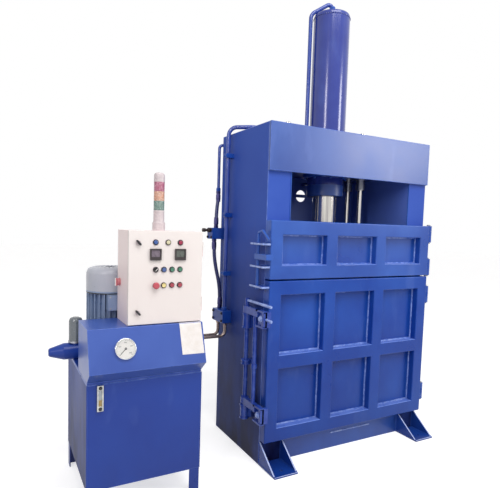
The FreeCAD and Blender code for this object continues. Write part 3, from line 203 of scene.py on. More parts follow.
bluePaintLook = {
    "colour": srgb(22, 66, 154), "second": srgb(44, 90, 178), "cloudSize": 2.0,
    "scuff": 0.2, "scuffSize": 7.0, "scuffColour": srgb(84, 112, 186),
    # the darkening towards the bottom is part dust, part painted shade
    "dustAndShade": 0.5, "dustAndShadeTop": 0.9, "dustAndShadeColour": srgb(28, 38, 92), "roughness": (0.26, 0.36),
    "specular": 0.45, "coat": 0.0, "coatRoughness": 0.3, "peel": 0.08, "peelSize": 90,
}
metalLook = {"streakSize": 60, "stretch": (1, 1, 1)}
plasticLook = {"grainSize": 700, "roughness": (0.22, 0.36), "bump": 0.1, "clear": 0.0}
paintLooks = {
    "bluePaint": {},
    "beamPaint": dict(colour=srgb(34, 70, 148), second=srgb(46, 84, 162), cloudSize=2.6, scuff=0.3,
        roughness=(0.27, 0.35), specular=0.6),
    # paler paint for rounded edges: part wear, part painted highlight
    "rubbedAndHighlightPaint": dict(colour=srgb(58, 92, 176), second=srgb(96, 122, 198), cloudSize=18.0, scuff=0.4,
        scuffSize=30.0, scuffColour=srgb(130, 150, 212), dustAndShade=0.3, peel=0.12),
    # a darker copy of the blue for the sides, heavily darkened low down: painted shade
    "shadedSidePaint": dict(colour=srgb(48, 78, 168), second=srgb(60, 90, 178), scuffColour=srgb(84, 96, 170),
        dustAndShadeTop=1.55, dustAndShade=1.0, dustAndShadeColour=srgb(12, 12, 46), specular=0.09, roughness=(0.38, 0.5)),
    # a lighter copy of the blue for the walls inside the chamber: painted light
    "wallPaint": dict(colour=srgb(78, 106, 194), second=srgb(90, 118, 202), scuffColour=srgb(104, 122, 188),
        dustAndShadeTop=1.0, dustAndShade=0.6, specular=0.3, roughness=(0.34, 0.46)),
    # a darker copy of the blue for the low parts: painted shade
    "lowPaint": dict(colour=srgb(14, 58, 148), second=srgb(34, 80, 170), dustAndShadeColour=srgb(14, 26, 86),
        specular=0.26),
    # a paler blue for up-facing ledges: painted light
    "litLedgePaint": dict(colour=srgb(84, 114, 196), second=srgb(100, 130, 208), cloudSize=9.0, dustAndShade=0.1,
        peel=0.12),
    "pipePaint": dict(colour=srgb(42, 66, 150), second=srgb(54, 80, 164), cloudSize=9.0, dustAndShadeTop=1.3,
        dustAndShadeColour=srgb(30, 32, 76), roughness=(0.16, 0.24), coat=0.3, coatRoughness=0.12),
    # a pale blue for edges: part wear, part painted highlight
    "edgePaint": dict(colour=srgb(118, 142, 210), second=srgb(162, 182, 230), cloudSize=26.0, scuff=0.5,
        scuffSize=40.0, scuffColour=srgb(176, 190, 228), dustAndShade=0.2, roughness=(0.22, 0.34), peel=0.2),
    # pale paint for weld beads: painted highlight on their ripples
    "weldPaint": dict(colour=srgb(66, 100, 184), second=srgb(122, 146, 212), cloudSize=34.0, scuff=0.5,
        scuffSize=50.0, scuffColour=srgb(158, 176, 224), dustAndShade=0.3, roughness=(0.2, 0.34), peel=0.3),
    "cylinderPaint": dict(colour=srgb(34, 50, 136), second=srgb(48, 66, 150), cloudSize=4.0,
        roughness=(0.16, 0.22), specular=0.5, coat=0.25, coatRoughness=0.1, peel=0.03),
    "barPaint": dict(colour=srgb(30, 60, 152), second=srgb(54, 84, 172), cloudSize=16.0, scuff=0.3,
        scuffSize=30.0, scuffColour=srgb(92, 116, 190), dustAndShade=0.3, roughness=(0.2, 0.3), specular=0.34,
        coat=0.1, coatRoughness=0.1),
    # a pale blue for the feet's sloped edges: part wear, part painted highlight
    "wornAndHighlightRimPaint": dict(colour=srgb(160, 176, 228), second=srgb(190, 204, 240), cloudSize=30.0, scuff=0.3,
        scuffSize=40.0, scuffColour=srgb(206, 216, 242), dustAndShade=0.1, roughness=(0.2, 0.3), peel=0.2),
    "packPaint": dict(colour=srgb(26, 58, 146), second=srgb(34, 68, 158), cloudSize=2.4, dustAndShadeTop=0.75,
        specular=0.3),
    # a lighter copy of the pack blue for the sloping console: painted light
    "consolePaint": dict(colour=srgb(52, 80, 160), second=srgb(62, 92, 172), cloudSize=2.4, specular=0.5),
    "motorPaint": dict(colour=srgb(126, 146, 178), second=srgb(142, 160, 190),
        scuffColour=srgb(182, 192, 208), dustAndShadeColour=srgb(80, 92, 122), dustAndShadeTop=1.15, dustAndShade=0.5, coat=0.1,
        cloudSize=8.0),
    "cowlPaint": dict(colour=srgb(172, 176, 188), second=srgb(182, 184, 194),
        scuffColour=srgb(200, 202, 208), dustAndShadeColour=srgb(120, 126, 140), dustAndShadeTop=1.2, dustAndShade=0.3, coat=0.2,
        cloudSize=8.0),
    "filterPaint": dict(colour=srgb(92, 100, 108), second=srgb(104, 112, 118),
        scuffColour=srgb(140, 146, 152), dustAndShadeColour=srgb(60, 62, 66), dustAndShadeTop=1.0, dustAndShade=0.3,
        specular=0.6, coat=0.5, coatRoughness=0.1, cloudSize=12.0, roughness=(0.2, 0.3)),
    "creamPaint": dict(colour=srgb(228, 220, 217), second=srgb(232, 226, 223),
        scuffColour=srgb(238, 234, 231), scuff=0.3, dustAndShadeColour=srgb(210, 188, 182), dustAndShadeTop=1.35,
        dustAndShade=0.28, roughness=(0.36, 0.48), peelSize=240, peel=0.16, coat=0.1),
    # a pinker cream than the door's: part the box's own tint, part painted reflection on its sides
    "cabinetPaint": dict(colour=srgb(242, 224, 222), second=srgb(246, 230, 228),
        scuffColour=srgb(248, 238, 236), scuff=0.3, dustAndShadeColour=srgb(214, 188, 184), dustAndShadeTop=1.35,
        dustAndShade=0.2, roughness=(0.36, 0.48), peelSize=240, peel=0.16, coat=0.1),
}
metalLooks = {
    # the chrome's long light and dark bands are painted reflection
    "hardChrome": dict(colour=srgb(236, 232, 222), second=srgb(158, 154, 158), streakSize=34,
        stretch=(1, 1, 0.03), roughness=(0.07, 0.2), bump=0.02),
    "turnedSteel": dict(colour=srgb(176, 178, 184), second=srgb(146, 148, 156), streakSize=40,
        stretch=(0.2, 0.2, 4), roughness=(0.24, 0.42), bump=0.08),
    "zincSteel": dict(colour=srgb(196, 196, 190), second=srgb(166, 168, 168), streakSize=70,
        roughness=(0.28, 0.48), bump=0.1),
    "pipeSteel": dict(colour=srgb(178, 160, 152), second=srgb(140, 126, 122), streakSize=30,
        roughness=(0.3, 0.5), bump=0.12),
    "darkFitting": dict(colour=srgb(84, 74, 72), second=srgb(62, 56, 56), roughness=(0.34, 0.52), bump=0.12),
    "polishedCase": dict(colour=srgb(214, 218, 222), second=srgb(196, 200, 206), roughness=(0.14, 0.24),
        bump=0.03),
    "hoseEnd": dict(colour=srgb(86, 84, 132), second=srgb(70, 68, 112), roughness=(0.28, 0.42), bump=0.08),
}
plasticLooks = {
    "hoseCover": dict(colour=srgb(60, 66, 122), second=srgb(46, 50, 94), grainSize=240,
        roughness=(0.24, 0.42), bump=0.4),
    "darkPlastic": dict(colour=srgb(30, 30, 34), second=srgb(40, 40, 44), roughness=(0.32, 0.46), bump=0.2),
    "greyPlastic": dict(colour=srgb(220, 208, 210), second=srgb(206, 194, 198), grainSize=90,
        roughness=(0.28, 0.42), clear=0.12),
    "brownPlastic": dict(colour=srgb(46, 40, 42), second=srgb(56, 48, 50), roughness=(0.32, 0.46), bump=0.2),
    "redPlastic": dict(colour=srgb(170, 72, 86), second=srgb(156, 60, 74)),
    "stopPlastic": dict(colour=srgb(190, 84, 96), second=srgb(178, 72, 84)),
    "knobPlastic": dict(colour=srgb(204, 122, 128), second=srgb(190, 104, 112)),
    "greenPlastic": dict(colour=srgb(72, 128, 104), second=srgb(62, 114, 92)),
    "bluePlastic": dict(colour=srgb(80, 102, 156), second=srgb(70, 92, 146)),
    "yellowPlastic": dict(colour=srgb(232, 216, 152), second=srgb(224, 206, 138)),
    "lampBlue": dict(colour=srgb(70, 110, 186), second=srgb(62, 98, 172), roughness=(0.1, 0.2), clear=0.3),
    "lampClear": dict(colour=srgb(244, 238, 200), second=srgb(238, 230, 188), roughness=(0.1, 0.2),
        clear=0.3),
    "lampRed": dict(colour=srgb(186, 56, 92), second=srgb(170, 46, 80), roughness=(0.1, 0.2), clear=0.3),
    "lensRed": dict(colour=srgb(226, 158, 182), second=srgb(196, 116, 146), grainSize=55,
        roughness=(0.12, 0.3), clear=0.4),
    "lensAmber": dict(colour=srgb(246, 208, 188), second=srgb(232, 178, 152), grainSize=55,
        roughness=(0.12, 0.3), clear=0.4),
    "lensGreen": dict(colour=srgb(160, 184, 176), second=srgb(114, 154, 144), grainSize=55,
        roughness=(0.12, 0.3), clear=0.4),
    "dialCard": dict(colour=srgb(246, 243, 240), second=srgb(240, 236, 232), roughness=(0.4, 0.5),
        bump=0.05),
    "sheetCard": dict(colour=srgb(229, 225, 223), second=srgb(220, 214, 209), grainSize=30,
        roughness=(0.25, 0.45), bump=0.1),
    "purpleCard": dict(colour=srgb(122, 110, 122), second=srgb(112, 100, 114), roughness=(0.25, 0.35),
        bump=0.05),
    "greenCard": dict(colour=srgb(98, 104, 98), second=srgb(90, 96, 90), roughness=(0.25, 0.35), bump=0.05),
    "amberOil": dict(colour=srgb(176, 150, 92), second=srgb(166, 138, 80), grainSize=60,
        roughness=(0.08, 0.16), clear=0.2),
    "clearWindow": dict(colour=srgb(196, 204, 214), second=srgb(186, 194, 206), grainSize=60,
        roughness=(0.05, 0.1), clear=0.5),
    "coverGlass": dict(colour=(1, 1, 1, 1), second=(0.96, 0.97, 0.97, 1), grainSize=40,
        roughness=(0.0, 0.04), clear=1.0, bump=0.0),
}
materials = {}
for looks, usual, make in ((paintLooks, bluePaintLook, sprayedPaint), (metalLooks, metalLook, bareMetal),
                           (plasticLooks, plasticLook, mouldedPlastic)):
    for name, look in looks.items():
        materials[name] = make(name, {**usual, **look})
print("materials made:", len(materials))


# mesh helpers

def finishPiece(piece, body, slot, finish, *replaced):
    # finish is one material's name, or several in the order of the faces' material numbers
    for name in ([finish] if isinstance(finish, str) else finish):
        piece.data.materials.append(materials[name])
    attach(piece, body)
    if replaced:
        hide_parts(*replaced)
    return piece


def pieceFromMesh(name, build):
    mesh = bpy.data.meshes.new(name)
    build.to_mesh(mesh)
    build.free()
    piece = bpy.data.objects.new(name, mesh)
    bpy.context.scene.collection.objects.link(piece)
    return piece


def smoothByAngle(mesh, degrees):
    for face in mesh.polygons:
        face.use_smooth = True
    mesh.set_sharp_from_angle(angle=radians(degrees))


def closePiece(name, build, body, slot, finish, *replaced, angle=38):
    # turns what has been built into a piece: faces outward, flat faces shaded flat, rounds smooth
    bmesh.ops.recalc_face_normals(build, faces=build.faces)
    piece = pieceFromMesh(name, build)
    smoothByAngle(piece.data, angle)
    even = piece.modifiers.new("evenShade", "WEIGHTED_NORMAL")
    even.mode = "FACE_AREA"
    even.weight = 100
    even.keep_sharp = True
    return finishPiece(piece, body, slot, finish, *replaced)


def settleModifiers():
    bpy.context.view_layer.update()
    graph = bpy.context.evaluated_depsgraph_get()
    worked = [p for p in bpy.context.scene.objects if p.type == "MESH" and p.modifiers]
    meshes = [bpy.data.meshes.new_from_object(p.evaluated_get(graph)) for p in worked]
    for piece, mesh in zip(worked, meshes):
        piece.modifiers.clear()
        piece.data = mesh


def addBox(build, low, high, number=0):
    spots = [build.verts.new([low[j] if i >> j & 1 else high[j] for j in range(3)]) for i in range(8)]
    for corners in ((0, 1, 3, 2), (4, 6, 7, 5), (0, 4, 5, 1), (2, 3, 7, 6), (0, 2, 6, 4), (1, 5, 7, 3)):
        build.faces.new([spots[i] for i in corners]).material_index = number


def addCircle(build, centre, across, other, radius, steps):
    angles = [2 * pi * k / steps for k in range(steps)]
    return [build.verts.new(centre + (across * cos(a) + other * sin(a)) * radius) for a in angles]


def joinRings(build, near, far, number=0):
    for k in range(len(near)):
        j = (k + 1) % len(near)
        build.faces.new((near[k], near[j], far[j], far[k])).material_index = number


def oblong(half, low, high):
    return [(-half, low), (half, low), (half, high), (-half, high)]


def addPrism(build, points, low, high, turn=None, number=0):
    # an outline in x and z pushed along y from low to high; turn places it
    turn = turn or Matrix()
    rows = [[build.verts.new(turn @ Vector((x, y, z))) for x, z in points] for y in (low, high)]
    build.faces.new(rows[0]).material_index = number
    build.faces.new(list(reversed(rows[1]))).material_index = number
    joinRings(build, rows[1], rows[0], number)


def addTurned(build, at, axis, profile, steps=24, number=0):
    # a turned form from (radius, height) points, heights along the axis from at; six steps make a hexagon
    lift = Vector(axis).normalized()
    across = lift.orthogonal().normalized() if abs(lift.z) < 0.9 else Vector((1, 0, 0))
    across = (across - lift * across.dot(lift)).normalized()
    other = lift.cross(across)
    rings = []
    for radius, height in profile:
        centre = Vector(at) + lift * height
        if radius < 1e-6:
            rings.append([build.verts.new(centre)])
        else:
            rings.append(addCircle(build, centre, across, other, radius, steps))
    for near, far in zip(rings, rings[1:]):
        if len(near) == 1 and len(far) == 1:
            continue
        for k in range(steps):
            j = (k + 1) % steps
            corners = [near[k % len(near)], near[j % len(near)], far[j % len(far)], far[k % len(far)]]
            build.faces.new(list(dict.fromkeys(corners))).material_index = number
    for ring in (rings[0], rings[-1]):
        if len(ring) > 1 and rings[0] is not rings[-1] and profile[0] != profile[-1]:
            build.faces.new(ring).material_index = number


def addRing(build, at, axis, profile, steps=24):
    # a turned form whose outline closes on itself, such as a bezel or a lens ring
    lift = Vector(axis).normalized()
    across = Vector((1, 0, 0)) if abs(lift.x) < 0.9 else Vector((0, 1, 0))
    across = (across - lift * across.dot(lift)).normalized()
    other = lift.cross(across)
    rings = [addCircle(build, Vector(at) + lift * height, across, other, radius, steps)
             for radius, height in profile]
    for near, far in zip(rings, rings[1:] + rings[:1]):
        joinRings(build, near, far)


def addBolt(build, at, axis, across):
    # a hexagon head with its chamfer, on a washer
    size = across / 2
    top, crown = size * 0.22, size * 0.22 + size * 0.95
    addTurned(build, at, axis, [(size * 1.32, 0.0), (size * 1.32, top), (0, top)], 20)
    head = [(size * 1.12, top), (size * 1.12, top + size * 0.78), (size * 0.96, crown), (0, crown)]
    addTurned(build, at, axis, head, 6)


def addNut(build, at, axis, across, length, bore):
    # a pipe nut: hexagon with chamfered ends and a smaller collar
    size = across / 2 * 1.12
    hexagon = [(bore, 0), (size * 0.92, 0), (size, length * 0.08), (size, length * 0.7),
               (size * 0.9, length * 0.78), (bore, length * 0.78)]
    collar = [(bore, length * 0.7), (size * 0.8, length * 0.76), (size * 0.78, length * 0.95), (bore, length)]
    addTurned(build, at, axis, hexagon, 6)
    addTurned(build, at, axis, collar)


def addBead(build, start, end, radius):
    # a weld bead laid in ripples from start to end
    start, end = Vector(start), Vector(end)
    line = end - start
    lift = line.normalized()
    across = lift.orthogonal().normalized()
    other = lift.cross(across)
    count = max(3, int(line.length / (radius * 1.1)))
    last = None
    for i in range(count + 1):
        swell = radius * ((0.8, 1.0, 0.92)[i % 3] + random.uniform(-0.05, 0.05))
        if i in (0, count):
            swell *= 0.55
        ring = addCircle(build, start + line * (i / count), across, other, swell, 6)
        if last:
            joinRings(build, last, ring)
        else:
            build.faces.new(ring)
        last = ring
    build.faces.new(last)


def addFillet(build, start, end, up, out, tall, deep):
    # a hand-laid fillet in an inner corner, uneven along its length; up lies on one wall and out on the other
    start, end, up, out = Vector(start), Vector(end), Vector(up), Vector(out)
    line = end - start
    count = max(6, int(line.length / 0.009))
    last, swell, sunk = None, 0.85, 0.001
    for i in range(count + 1):
        swell = min(1.0, max(0.6, swell + random.uniform(-0.11, 0.11)))
        high, far = tall * swell, deep * (1.6 - swell) * 0.9
        centre = start + line * (i / count)
        outline = [(-sunk, -sunk), (high, -sunk), (high * 0.92, far * 0.14), (high * 0.5, far * 0.5),
                   (high * 0.14, far * 0.92), (-sunk, far)]
        ring = [build.verts.new(centre + up * u + out * o) for u, o in outline]
        if last:
            joinRings(build, last, ring)
        else:
            build.faces.new(ring)
        last = ring
    build.faces.new(last)


def roundEdges(build, width, segments, shortest=0.0, edges=None):
    # breaks outward edges, as a grinder and a coat of paint leave them
    if edges is None:
        edges = [e for e in build.edges if len(e.link_faces) == 2 and e.is_convex
                 and e.calc_face_angle(0) > radians(38) and e.calc_length() > shortest]
    if edges:
        return bmesh.ops.bevel(build, geom=edges, offset=width, offset_type="OFFSET", segments=segments,
                               profile=0.5, affect="EDGES", clamp_overlap=shortest == 0.0)["faces"]
    return []


def solidsOf(node):
    # the node's solids, each as its own mesh: one ends where its surface closes
    mesh = nodes[node].data
    spots = [tuple(round(c, 6) for c in v.co) for v in mesh.vertices]
    solids, loose, faces = [], set(), []
    for face in mesh.polygons:
        corners = [spots[i] for i in face.vertices]
        faces.append(corners)
        for pair in zip(corners, corners[1:] + corners[:1]):
            if pair[0] != pair[1]:
                loose ^= {tuple(sorted(pair))}
        if not loose:
            solids.append(faces)
            faces = []
    builds = []
    for faces in solids + ([faces] if faces else []):
        build = bmesh.new()
        made = {}
        for corners in faces:
            for spot in corners:
                if spot not in made:
                    made[spot] = build.verts.new(spot)
            verts = [made[spot] for spot in corners]
            if len(set(corners)) == 3 and not build.faces.get(verts):
                build.faces.new(verts)
        bmesh.ops.dissolve_limit(build, angle_limit=radians(1.0), verts=build.verts, edges=build.edges)
        bmesh.ops.recalc_face_normals(build, faces=build.faces)
        builds.append(build)
    return builds


def joinBuilds(builds):
    whole = bmesh.new()
    for build in builds:
        mesh = bpy.data.meshes.new("joined")
        build.to_mesh(mesh)
        build.free()
        whole.from_mesh(mesh)
        bpy.data.meshes.remove(mesh)
    return whole


def softenedCopy(node, finish, width, shortest=0.0, angle=38, finishOfFace=None, paleEdges=False):
    # the imported solids with their edges rounded one solid at a time; the rounded edges can take the second
    # finish, a paler paint that is part wear and part painted highlight, and a rule per face can give the
    # number of its finish
    builds = solidsOf(node)
    for build in builds:
        rounds = roundEdges(build, width, 3, shortest)
        if finishOfFace:
            for face in build.faces:
                face.material_index = int(finishOfFace(face))
        if paleEdges:
            for face in rounds:
                face.material_index = 1
    return closePiece(node + "Finish", joinBuilds(builds), bodyOf[node], slotOf[node], finish, node,
                      angle=angle)


def gridPlate(build, xs, zs, openCells, front, back):
    # a flat grid of bars between the lines xs and zs, with the open cells left out
    spots = {(i, k): build.verts.new((x, front, z)) for i, x in enumerate(xs) for k, z in enumerate(zs)}
    faces = [build.faces.new((spots[i, k], spots[i + 1, k], spots[i + 1, k + 1], spots[i, k + 1]))
             for i in range(len(xs) - 1) for k in range(len(zs) - 1) if (i, k) not in openCells]
    bmesh.ops.delete(build, geom=[v for v in build.verts if not v.link_faces], context="VERTS")
    made = bmesh.ops.extrude_face_region(build, geom=faces)["geom"]
    bmesh.ops.translate(build, vec=(0, back - front, 0),
                        verts=[g for g in made if isinstance(g, bmesh.types.BMVert)])
    bmesh.ops.recalc_face_normals(build, faces=build.faces)


# hoses, each a fixed length between two fittings

hoses = {
    "upper_hose": {
        "route": [(-0.69, 0.352, 1.745), (-0.69, 0.352, 1.692), (-0.702, 0.347, 1.6125),
                  (-0.709, 0.336, 1.53565), (-0.709, 0.336, 1.48)],
        "length": 0.267, "radius": 0.013},
    "lower_hose": {
        "route": [(-0.735, 0.305, 1.4), (-0.735, 0.305, 1.301), (-0.722, 0.298, 1.19705),
                  (-0.703, 0.278, 1.0931), (-0.699, 0.262, 0.99905), (-0.699, 0.262, 0.905)],
        "length": 0.5, "radius": 0.013},
    "ferrule": [(0.0135, 0.0), (0.015, 0.002), (0.0172, 0.006), (0.0172, 0.04), (0.0158, 0.043),
                (0.0158, 0.047), (0.0172, 0.05), (0.015, 0.055), (0.0135, 0.056)],
    "nutAcross": 0.032, "nutLength": 0.024,
}


def layHose(node):
    hose = hoses[node]
    curve = bpy.data.curves.new(node + "Cover", "CURVE")
    curve.dimensions = "3D"
    spline = curve.splines.new("NURBS")
    spline.points.add(len(hose["route"]) - 1)
    for point, spot in zip(spline.points, hose["route"]):
        point.co = (*spot, 1)
    spline.order_u = 3
    spline.use_endpoint_u = True
    spline.resolution_u = 12
    curve.bevel_depth = hose["radius"]
    curve.bevel_resolution = 6
    curve.use_fill_caps = True
    piece = bpy.data.objects.new(node + "Cover", curve)
    bpy.context.scene.collection.objects.link(piece)
    finishPiece(piece, "machine", "hose_rubber", "hoseCover", node)
    build = bmesh.new()
    for spot, lift in ((hose["route"][0], -1), (hose["route"][-1], 1)):
        addNut(build, spot, (0, 0, lift), hoses["nutAcross"], hoses["nutLength"], hose["radius"] + 0.0004)
        addTurned(build, Vector(spot) + Vector((0, 0, lift * 0.02)), (0, 0, lift), hoses["ferrule"], 24)
    ends = closePiece(node + "Ends", build, "machine", "machined_steel", "hoseEnd")


for node in ("upper_hose", "lower_hose"):
    layHose(node)
print("hoses laid")


# plates of the press and the pack, with broken edges

softened = {
    "bluePaint": {"base_frame": 0.003, "hinge_lugs": 0.003, "cylinder_flange": 0.002, "platen": 0.003,
                  "upper_door_plate": 0.002},
    # the darker low paint is painted shade
    "lowPaint": {"lower_door_plate": 0.002, "side_manifolds": 0.003, "pipe_clamps": 0.002},
    "beamPaint": {"crosshead": 0.0035},
    # the back wall takes the lighter chamber paint: painted light
    "wallPaint": {"back_wall": 0.002},
    "packPaint": {"tank_legs": 0.002, "tank_lid": 0.003, "valve_block": 0.002},
    # the lighter console paint is painted light
    "consolePaint": {"console_cover": 0.003},
    "creamPaint": {"control_door": 0.003},
    # the cabinet's pinker cream is part painted reflection
    "cabinetPaint": {"control_box": 0.002},
    "zincSteel": {"level_gauge": 0.002},
}
# these take the paler paint on their rounded edges: part wear, part painted highlight
paleEdgeNodes = ["crosshead", "base_frame", "console_cover", "tank_lid"]
for finish, widths in softened.items():
    for node, width in widths.items():
        paleEdges = node in paleEdgeNodes
        softenedCopy(node, [finish, "rubbedAndHighlightPaint"] if paleEdges else finish, width, paleEdges=paleEdges)
# side frames: a darker paint on the outside, painted shade, and a lighter paint on the faces inside the
# chamber, painted light
chamberHalf = 0.53
for node, inward in (("left_side_frame", 1), ("right_side_frame", -1)):
    softenedCopy(node, ["shadedSidePaint", "rubbedAndHighlightPaint", "wallPaint"], 0.004, paleEdges=True,
                 finishOfFace=lambda face: 2 * (face.normal.x * inward > 0.9
                                        and abs(face.calc_center_median().x) < chamberHalf))
# tank: its sides take the darker side paint, painted shade
softenedCopy("oil_tank", ["packPaint", "rubbedAndHighlightPaint", "shadedSidePaint"], 0.004, paleEdges=True,
             finishOfFace=lambda face: 2 * (abs(face.normal.x) > 0.9))
# pieces whose small rounds would hold the bevel back: only their long edges are rounded
softenedCopy("upper_latch", "bluePaint", 0.002, 0.012)
# the feet's up- and front-facing faces take the pale rim paint: part wear, part painted highlight
softenedCopy("front_feet", ["lowPaint", "wornAndHighlightRimPaint"], 0.0025, 0.009,
             finishOfFace=lambda face: face.normal.y < -0.2 and face.normal.z > 0.2)
# the upper brackets' upright faces take the pale edge paint: part wear, part painted highlight
softenedCopy("lock_brackets", ["barPaint", "edgePaint"], 0.0025, 0.01,
             finishOfFace=lambda face: face.calc_center_median().z > 1.1 and abs(face.normal.z) < 0.95)
# turned and cast forms: no bevel, their shoulders shaded round
roundShaded = {
    "cylinder_cap": "cylinderPaint", "fan_cowl": "cowlPaint", "filter_head": "packPaint",
    "filter_canister": "filterPaint", "motor_frame": "motorPaint",
}
for node, finish in roundShaded.items():
    softenedCopy(node, finish, 0.0, 9.0, angle=52)

# solids that only take a finish
plainFinish = {
    "rod_side_pipe": "pipePaint", "cap_side_pipe": "pipePaint", "cylinder_tube": "cylinderPaint",
    "cylinder_gland": "beamPaint", "bell_housing": "packPaint", "supply_pipes": "pipeSteel",
    "piston_rod": "hardChrome", "guide_rods": "hardChrome", "guide_bushes": "turnedSteel",
    "motor_rotor": "turnedSteel", "gauge_needle": "darkPlastic",
}
for name, finish in plainFinish.items():
    nodes[name].data.materials.clear()
    nodes[name].data.materials.append(materials[finish])
print("plates and turned forms finished")


# doors: each a grid of rounded box bars on its plate, with weld beads in the pockets

doors = {
    "columns": [-0.675, -0.587, -0.25433, -0.16633, 0.16633, 0.25433, 0.587, 0.675],
    "front": -0.387, "skin": -0.337, "round": 0.007, "ledgeWeld": (0.009, 0.012), "sideWeld": (0.01, 0.008),
    "knuckleFrom": 0.68, "knuckleRound": 0.002,
    "upper_door": {"rows": [1.179, 1.267, 1.452, 1.54], "open": [1], "finish": "bluePaint"},
    # the lower door's darker paint is painted shade
    "lower_door": {"rows": [0.16, 0.248, 0.6215, 0.7095, 1.083, 1.171], "open": [1, 3], "finish": "lowPaint"},
}


def makeDoor(body):
    rows = doors[body]["rows"]
    openCells = {(i, k) for i in (1, 3, 5) for k in doors[body]["open"]}
    build = bmesh.new()
    gridPlate(build, doors["columns"], rows, openCells, doors["front"], doors["skin"])
    edges = [e for e in build.edges if e.is_convex and e.calc_face_angle(0) > 1
             and min(v.co.y for v in e.verts) < doors["front"] + 0.0001]
    roundEdges(build, doors["round"], 3, edges=edges)
    # the up-facing ledges of the pockets take a paler paint: painted light from above
    for face in build.faces:
        centre = face.calc_center_median()
        if face.normal.z > 0.5 and any(abs(centre.z - rows[k]) < 0.008 for k in doors[body]["open"]):
            face.material_index = 1
    knuckles = []
    for solid in solidsOf(body + "_ribs"):
        if max(v.co.x for v in solid.verts) > doors["knuckleFrom"]:
            roundEdges(solid, doors["knuckleRound"], 2)
            knuckles.append(solid)
        else:
            solid.free()
    finishes = [doors[body]["finish"], "litLedgePaint"]
    closePiece(body + "Bars", joinBuilds([build] + knuckles), body, "blue_paint", finishes, body + "_ribs")
    # weld beads in the pale weld paint: painted highlight
    build = bmesh.new()
    y, out = doors["skin"], (0, -1, 0)
    for i, k in sorted(openCells):
        left, right = doors["columns"][i], doors["columns"][i + 1]
        low, high = rows[k], rows[k + 1]
        addFillet(build, (left, y, low), (right, y, low), (0, 0, 1), out, *doors["ledgeWeld"])
        addFillet(build, (left, y, high), (right, y, high), (0, 0, -1), out, *doors["sideWeld"])
        addFillet(build, (left, y, low), (left, y, high), (1, 0, 0), out, *doors["sideWeld"])
        addFillet(build, (right, y, low), (right, y, high), (-1, 0, 0), out, *doors["sideWeld"])
    closePiece(body + "Welds", build, body, "blue_paint", "weldPaint")


for body in ("upper_door", "lower_door"):
    makeDoor(body)
print("doors made")


# weld seams of the press frame

seams = {
    "bead": 0.005, "fineBead": 0.004, "front": -0.325, "side": 0.675,
    "lines": [
        # front plate to the posts
        ((-0.507, -0.3265, 1.838), (-0.675, -0.3265, 1.838)),
        ((0.507, -0.3265, 1.838), (0.675, -0.3265, 1.838)),
        # cover to the side frames, on top
        ((-0.507, -0.325, 2.13), (-0.507, 0.325, 2.13)), ((0.507, -0.325, 2.13), (0.507, 0.325, 2.13)),
        # posts to the sill, and inside the doors
        ((-0.507, -0.325, 0.0), (-0.507, -0.325, 0.158)), ((0.507, -0.325, 0.0), (0.507, -0.325, 0.158)),
        ((-0.507, -0.325, 0.158), (-0.507, -0.325, 1.838)), ((0.507, -0.325, 0.158), (0.507, -0.325, 1.838)),
        # back: outside stiffeners' frame to the side frames
        ((-0.507, 0.325, 0.158), (-0.507, 0.325, 2.13)), ((0.507, 0.325, 0.158), (0.507, 0.325, 2.13)),
    ],
    "gussets": {"left": (-0.675, -0.517, 0.507, 0.665), "thick": 0.01, "toe": -0.505, "low": 0.012,
                "high": 0.146},
    "bearings": {"y": (-0.206, -0.174), "z": ((0.265, 0.36), (0.855, 0.95), (0.62, 0.65))},
    "latchLugs": {"z": (1.128, 1.25, 1.387), "thick": 0.012, "back": -0.24},
    "hingeLugs": {"z": (0.3, 1.035, 1.238, 1.48), "half": 0.06, "front": -0.319, "back": -0.265},
    "stitch": {"from": (-0.114, -0.325, 0.107), "to": (0.239, -0.325, 0.107), "bead": 0.0055},
    # radius, height and bead of the rings round the cylinder and its port
    "rings": [(0.128, 2.978, 0.0045), (0.128, 2.13, 0.006), (0.0265, 3.008, 0.004)], "ringSteps": 48,
}
build = bmesh.new()
for start, end in seams["lines"]:
    addBead(build, start, end, seams["bead"])
front, side, bead = seams["front"], seams["side"], seams["fineBead"]
gussets, bearings, lugs, hinges = [seams[name] for name in ("gussets", "bearings", "latchLugs", "hingeLugs")]
for left in gussets["left"]:
    for x in (left, left + gussets["thick"]):
        addBead(build, (x, front, gussets["low"]), (x, gussets["toe"], gussets["low"]), bead)
        addBead(build, (x, front, gussets["low"] + 0.002), (x, front, gussets["high"]), bead)
for low, high in bearings["z"]:
    for y in bearings["y"]:
        addBead(build, (-side, y, low), (-side, y, high), bead)
for low in lugs["z"]:
    for z in (low, low + lugs["thick"]):
        addBead(build, (-side, front, z), (-side, lugs["back"], z), bead)
for middle in hinges["z"]:
    for z in (middle - hinges["half"], middle + hinges["half"]):
        addBead(build, (side, hinges["front"], z), (side, hinges["back"], z), bead)
closePiece("frameWelds", build, "machine", "blue_paint", "bluePaint")
# the stitch that shows on the sill under the doors, in the pale edge paint: painted highlight
build = bmesh.new()
addBead(build, seams["stitch"]["from"], seams["stitch"]["to"], seams["stitch"]["bead"])
closePiece("sillWeld", build, "machine", "blue_paint", "edgePaint")

build = bmesh.new()
for radius, z, bead in seams["rings"]:
    angles = [2 * pi * k / seams["ringSteps"] for k in range(seams["ringSteps"] + 1)]
    spots = [(radius * cos(a), radius * sin(a), z) for a in angles]
    for start, end in zip(spots, spots[1:]):
        addBead(build, start, end, bead)
closePiece("cylinderWelds", build, "machine", "blue_paint", "cylinderPaint")
print("welds laid")


# pipe nuts, clamp bolts, block screws and the other fasteners of the press

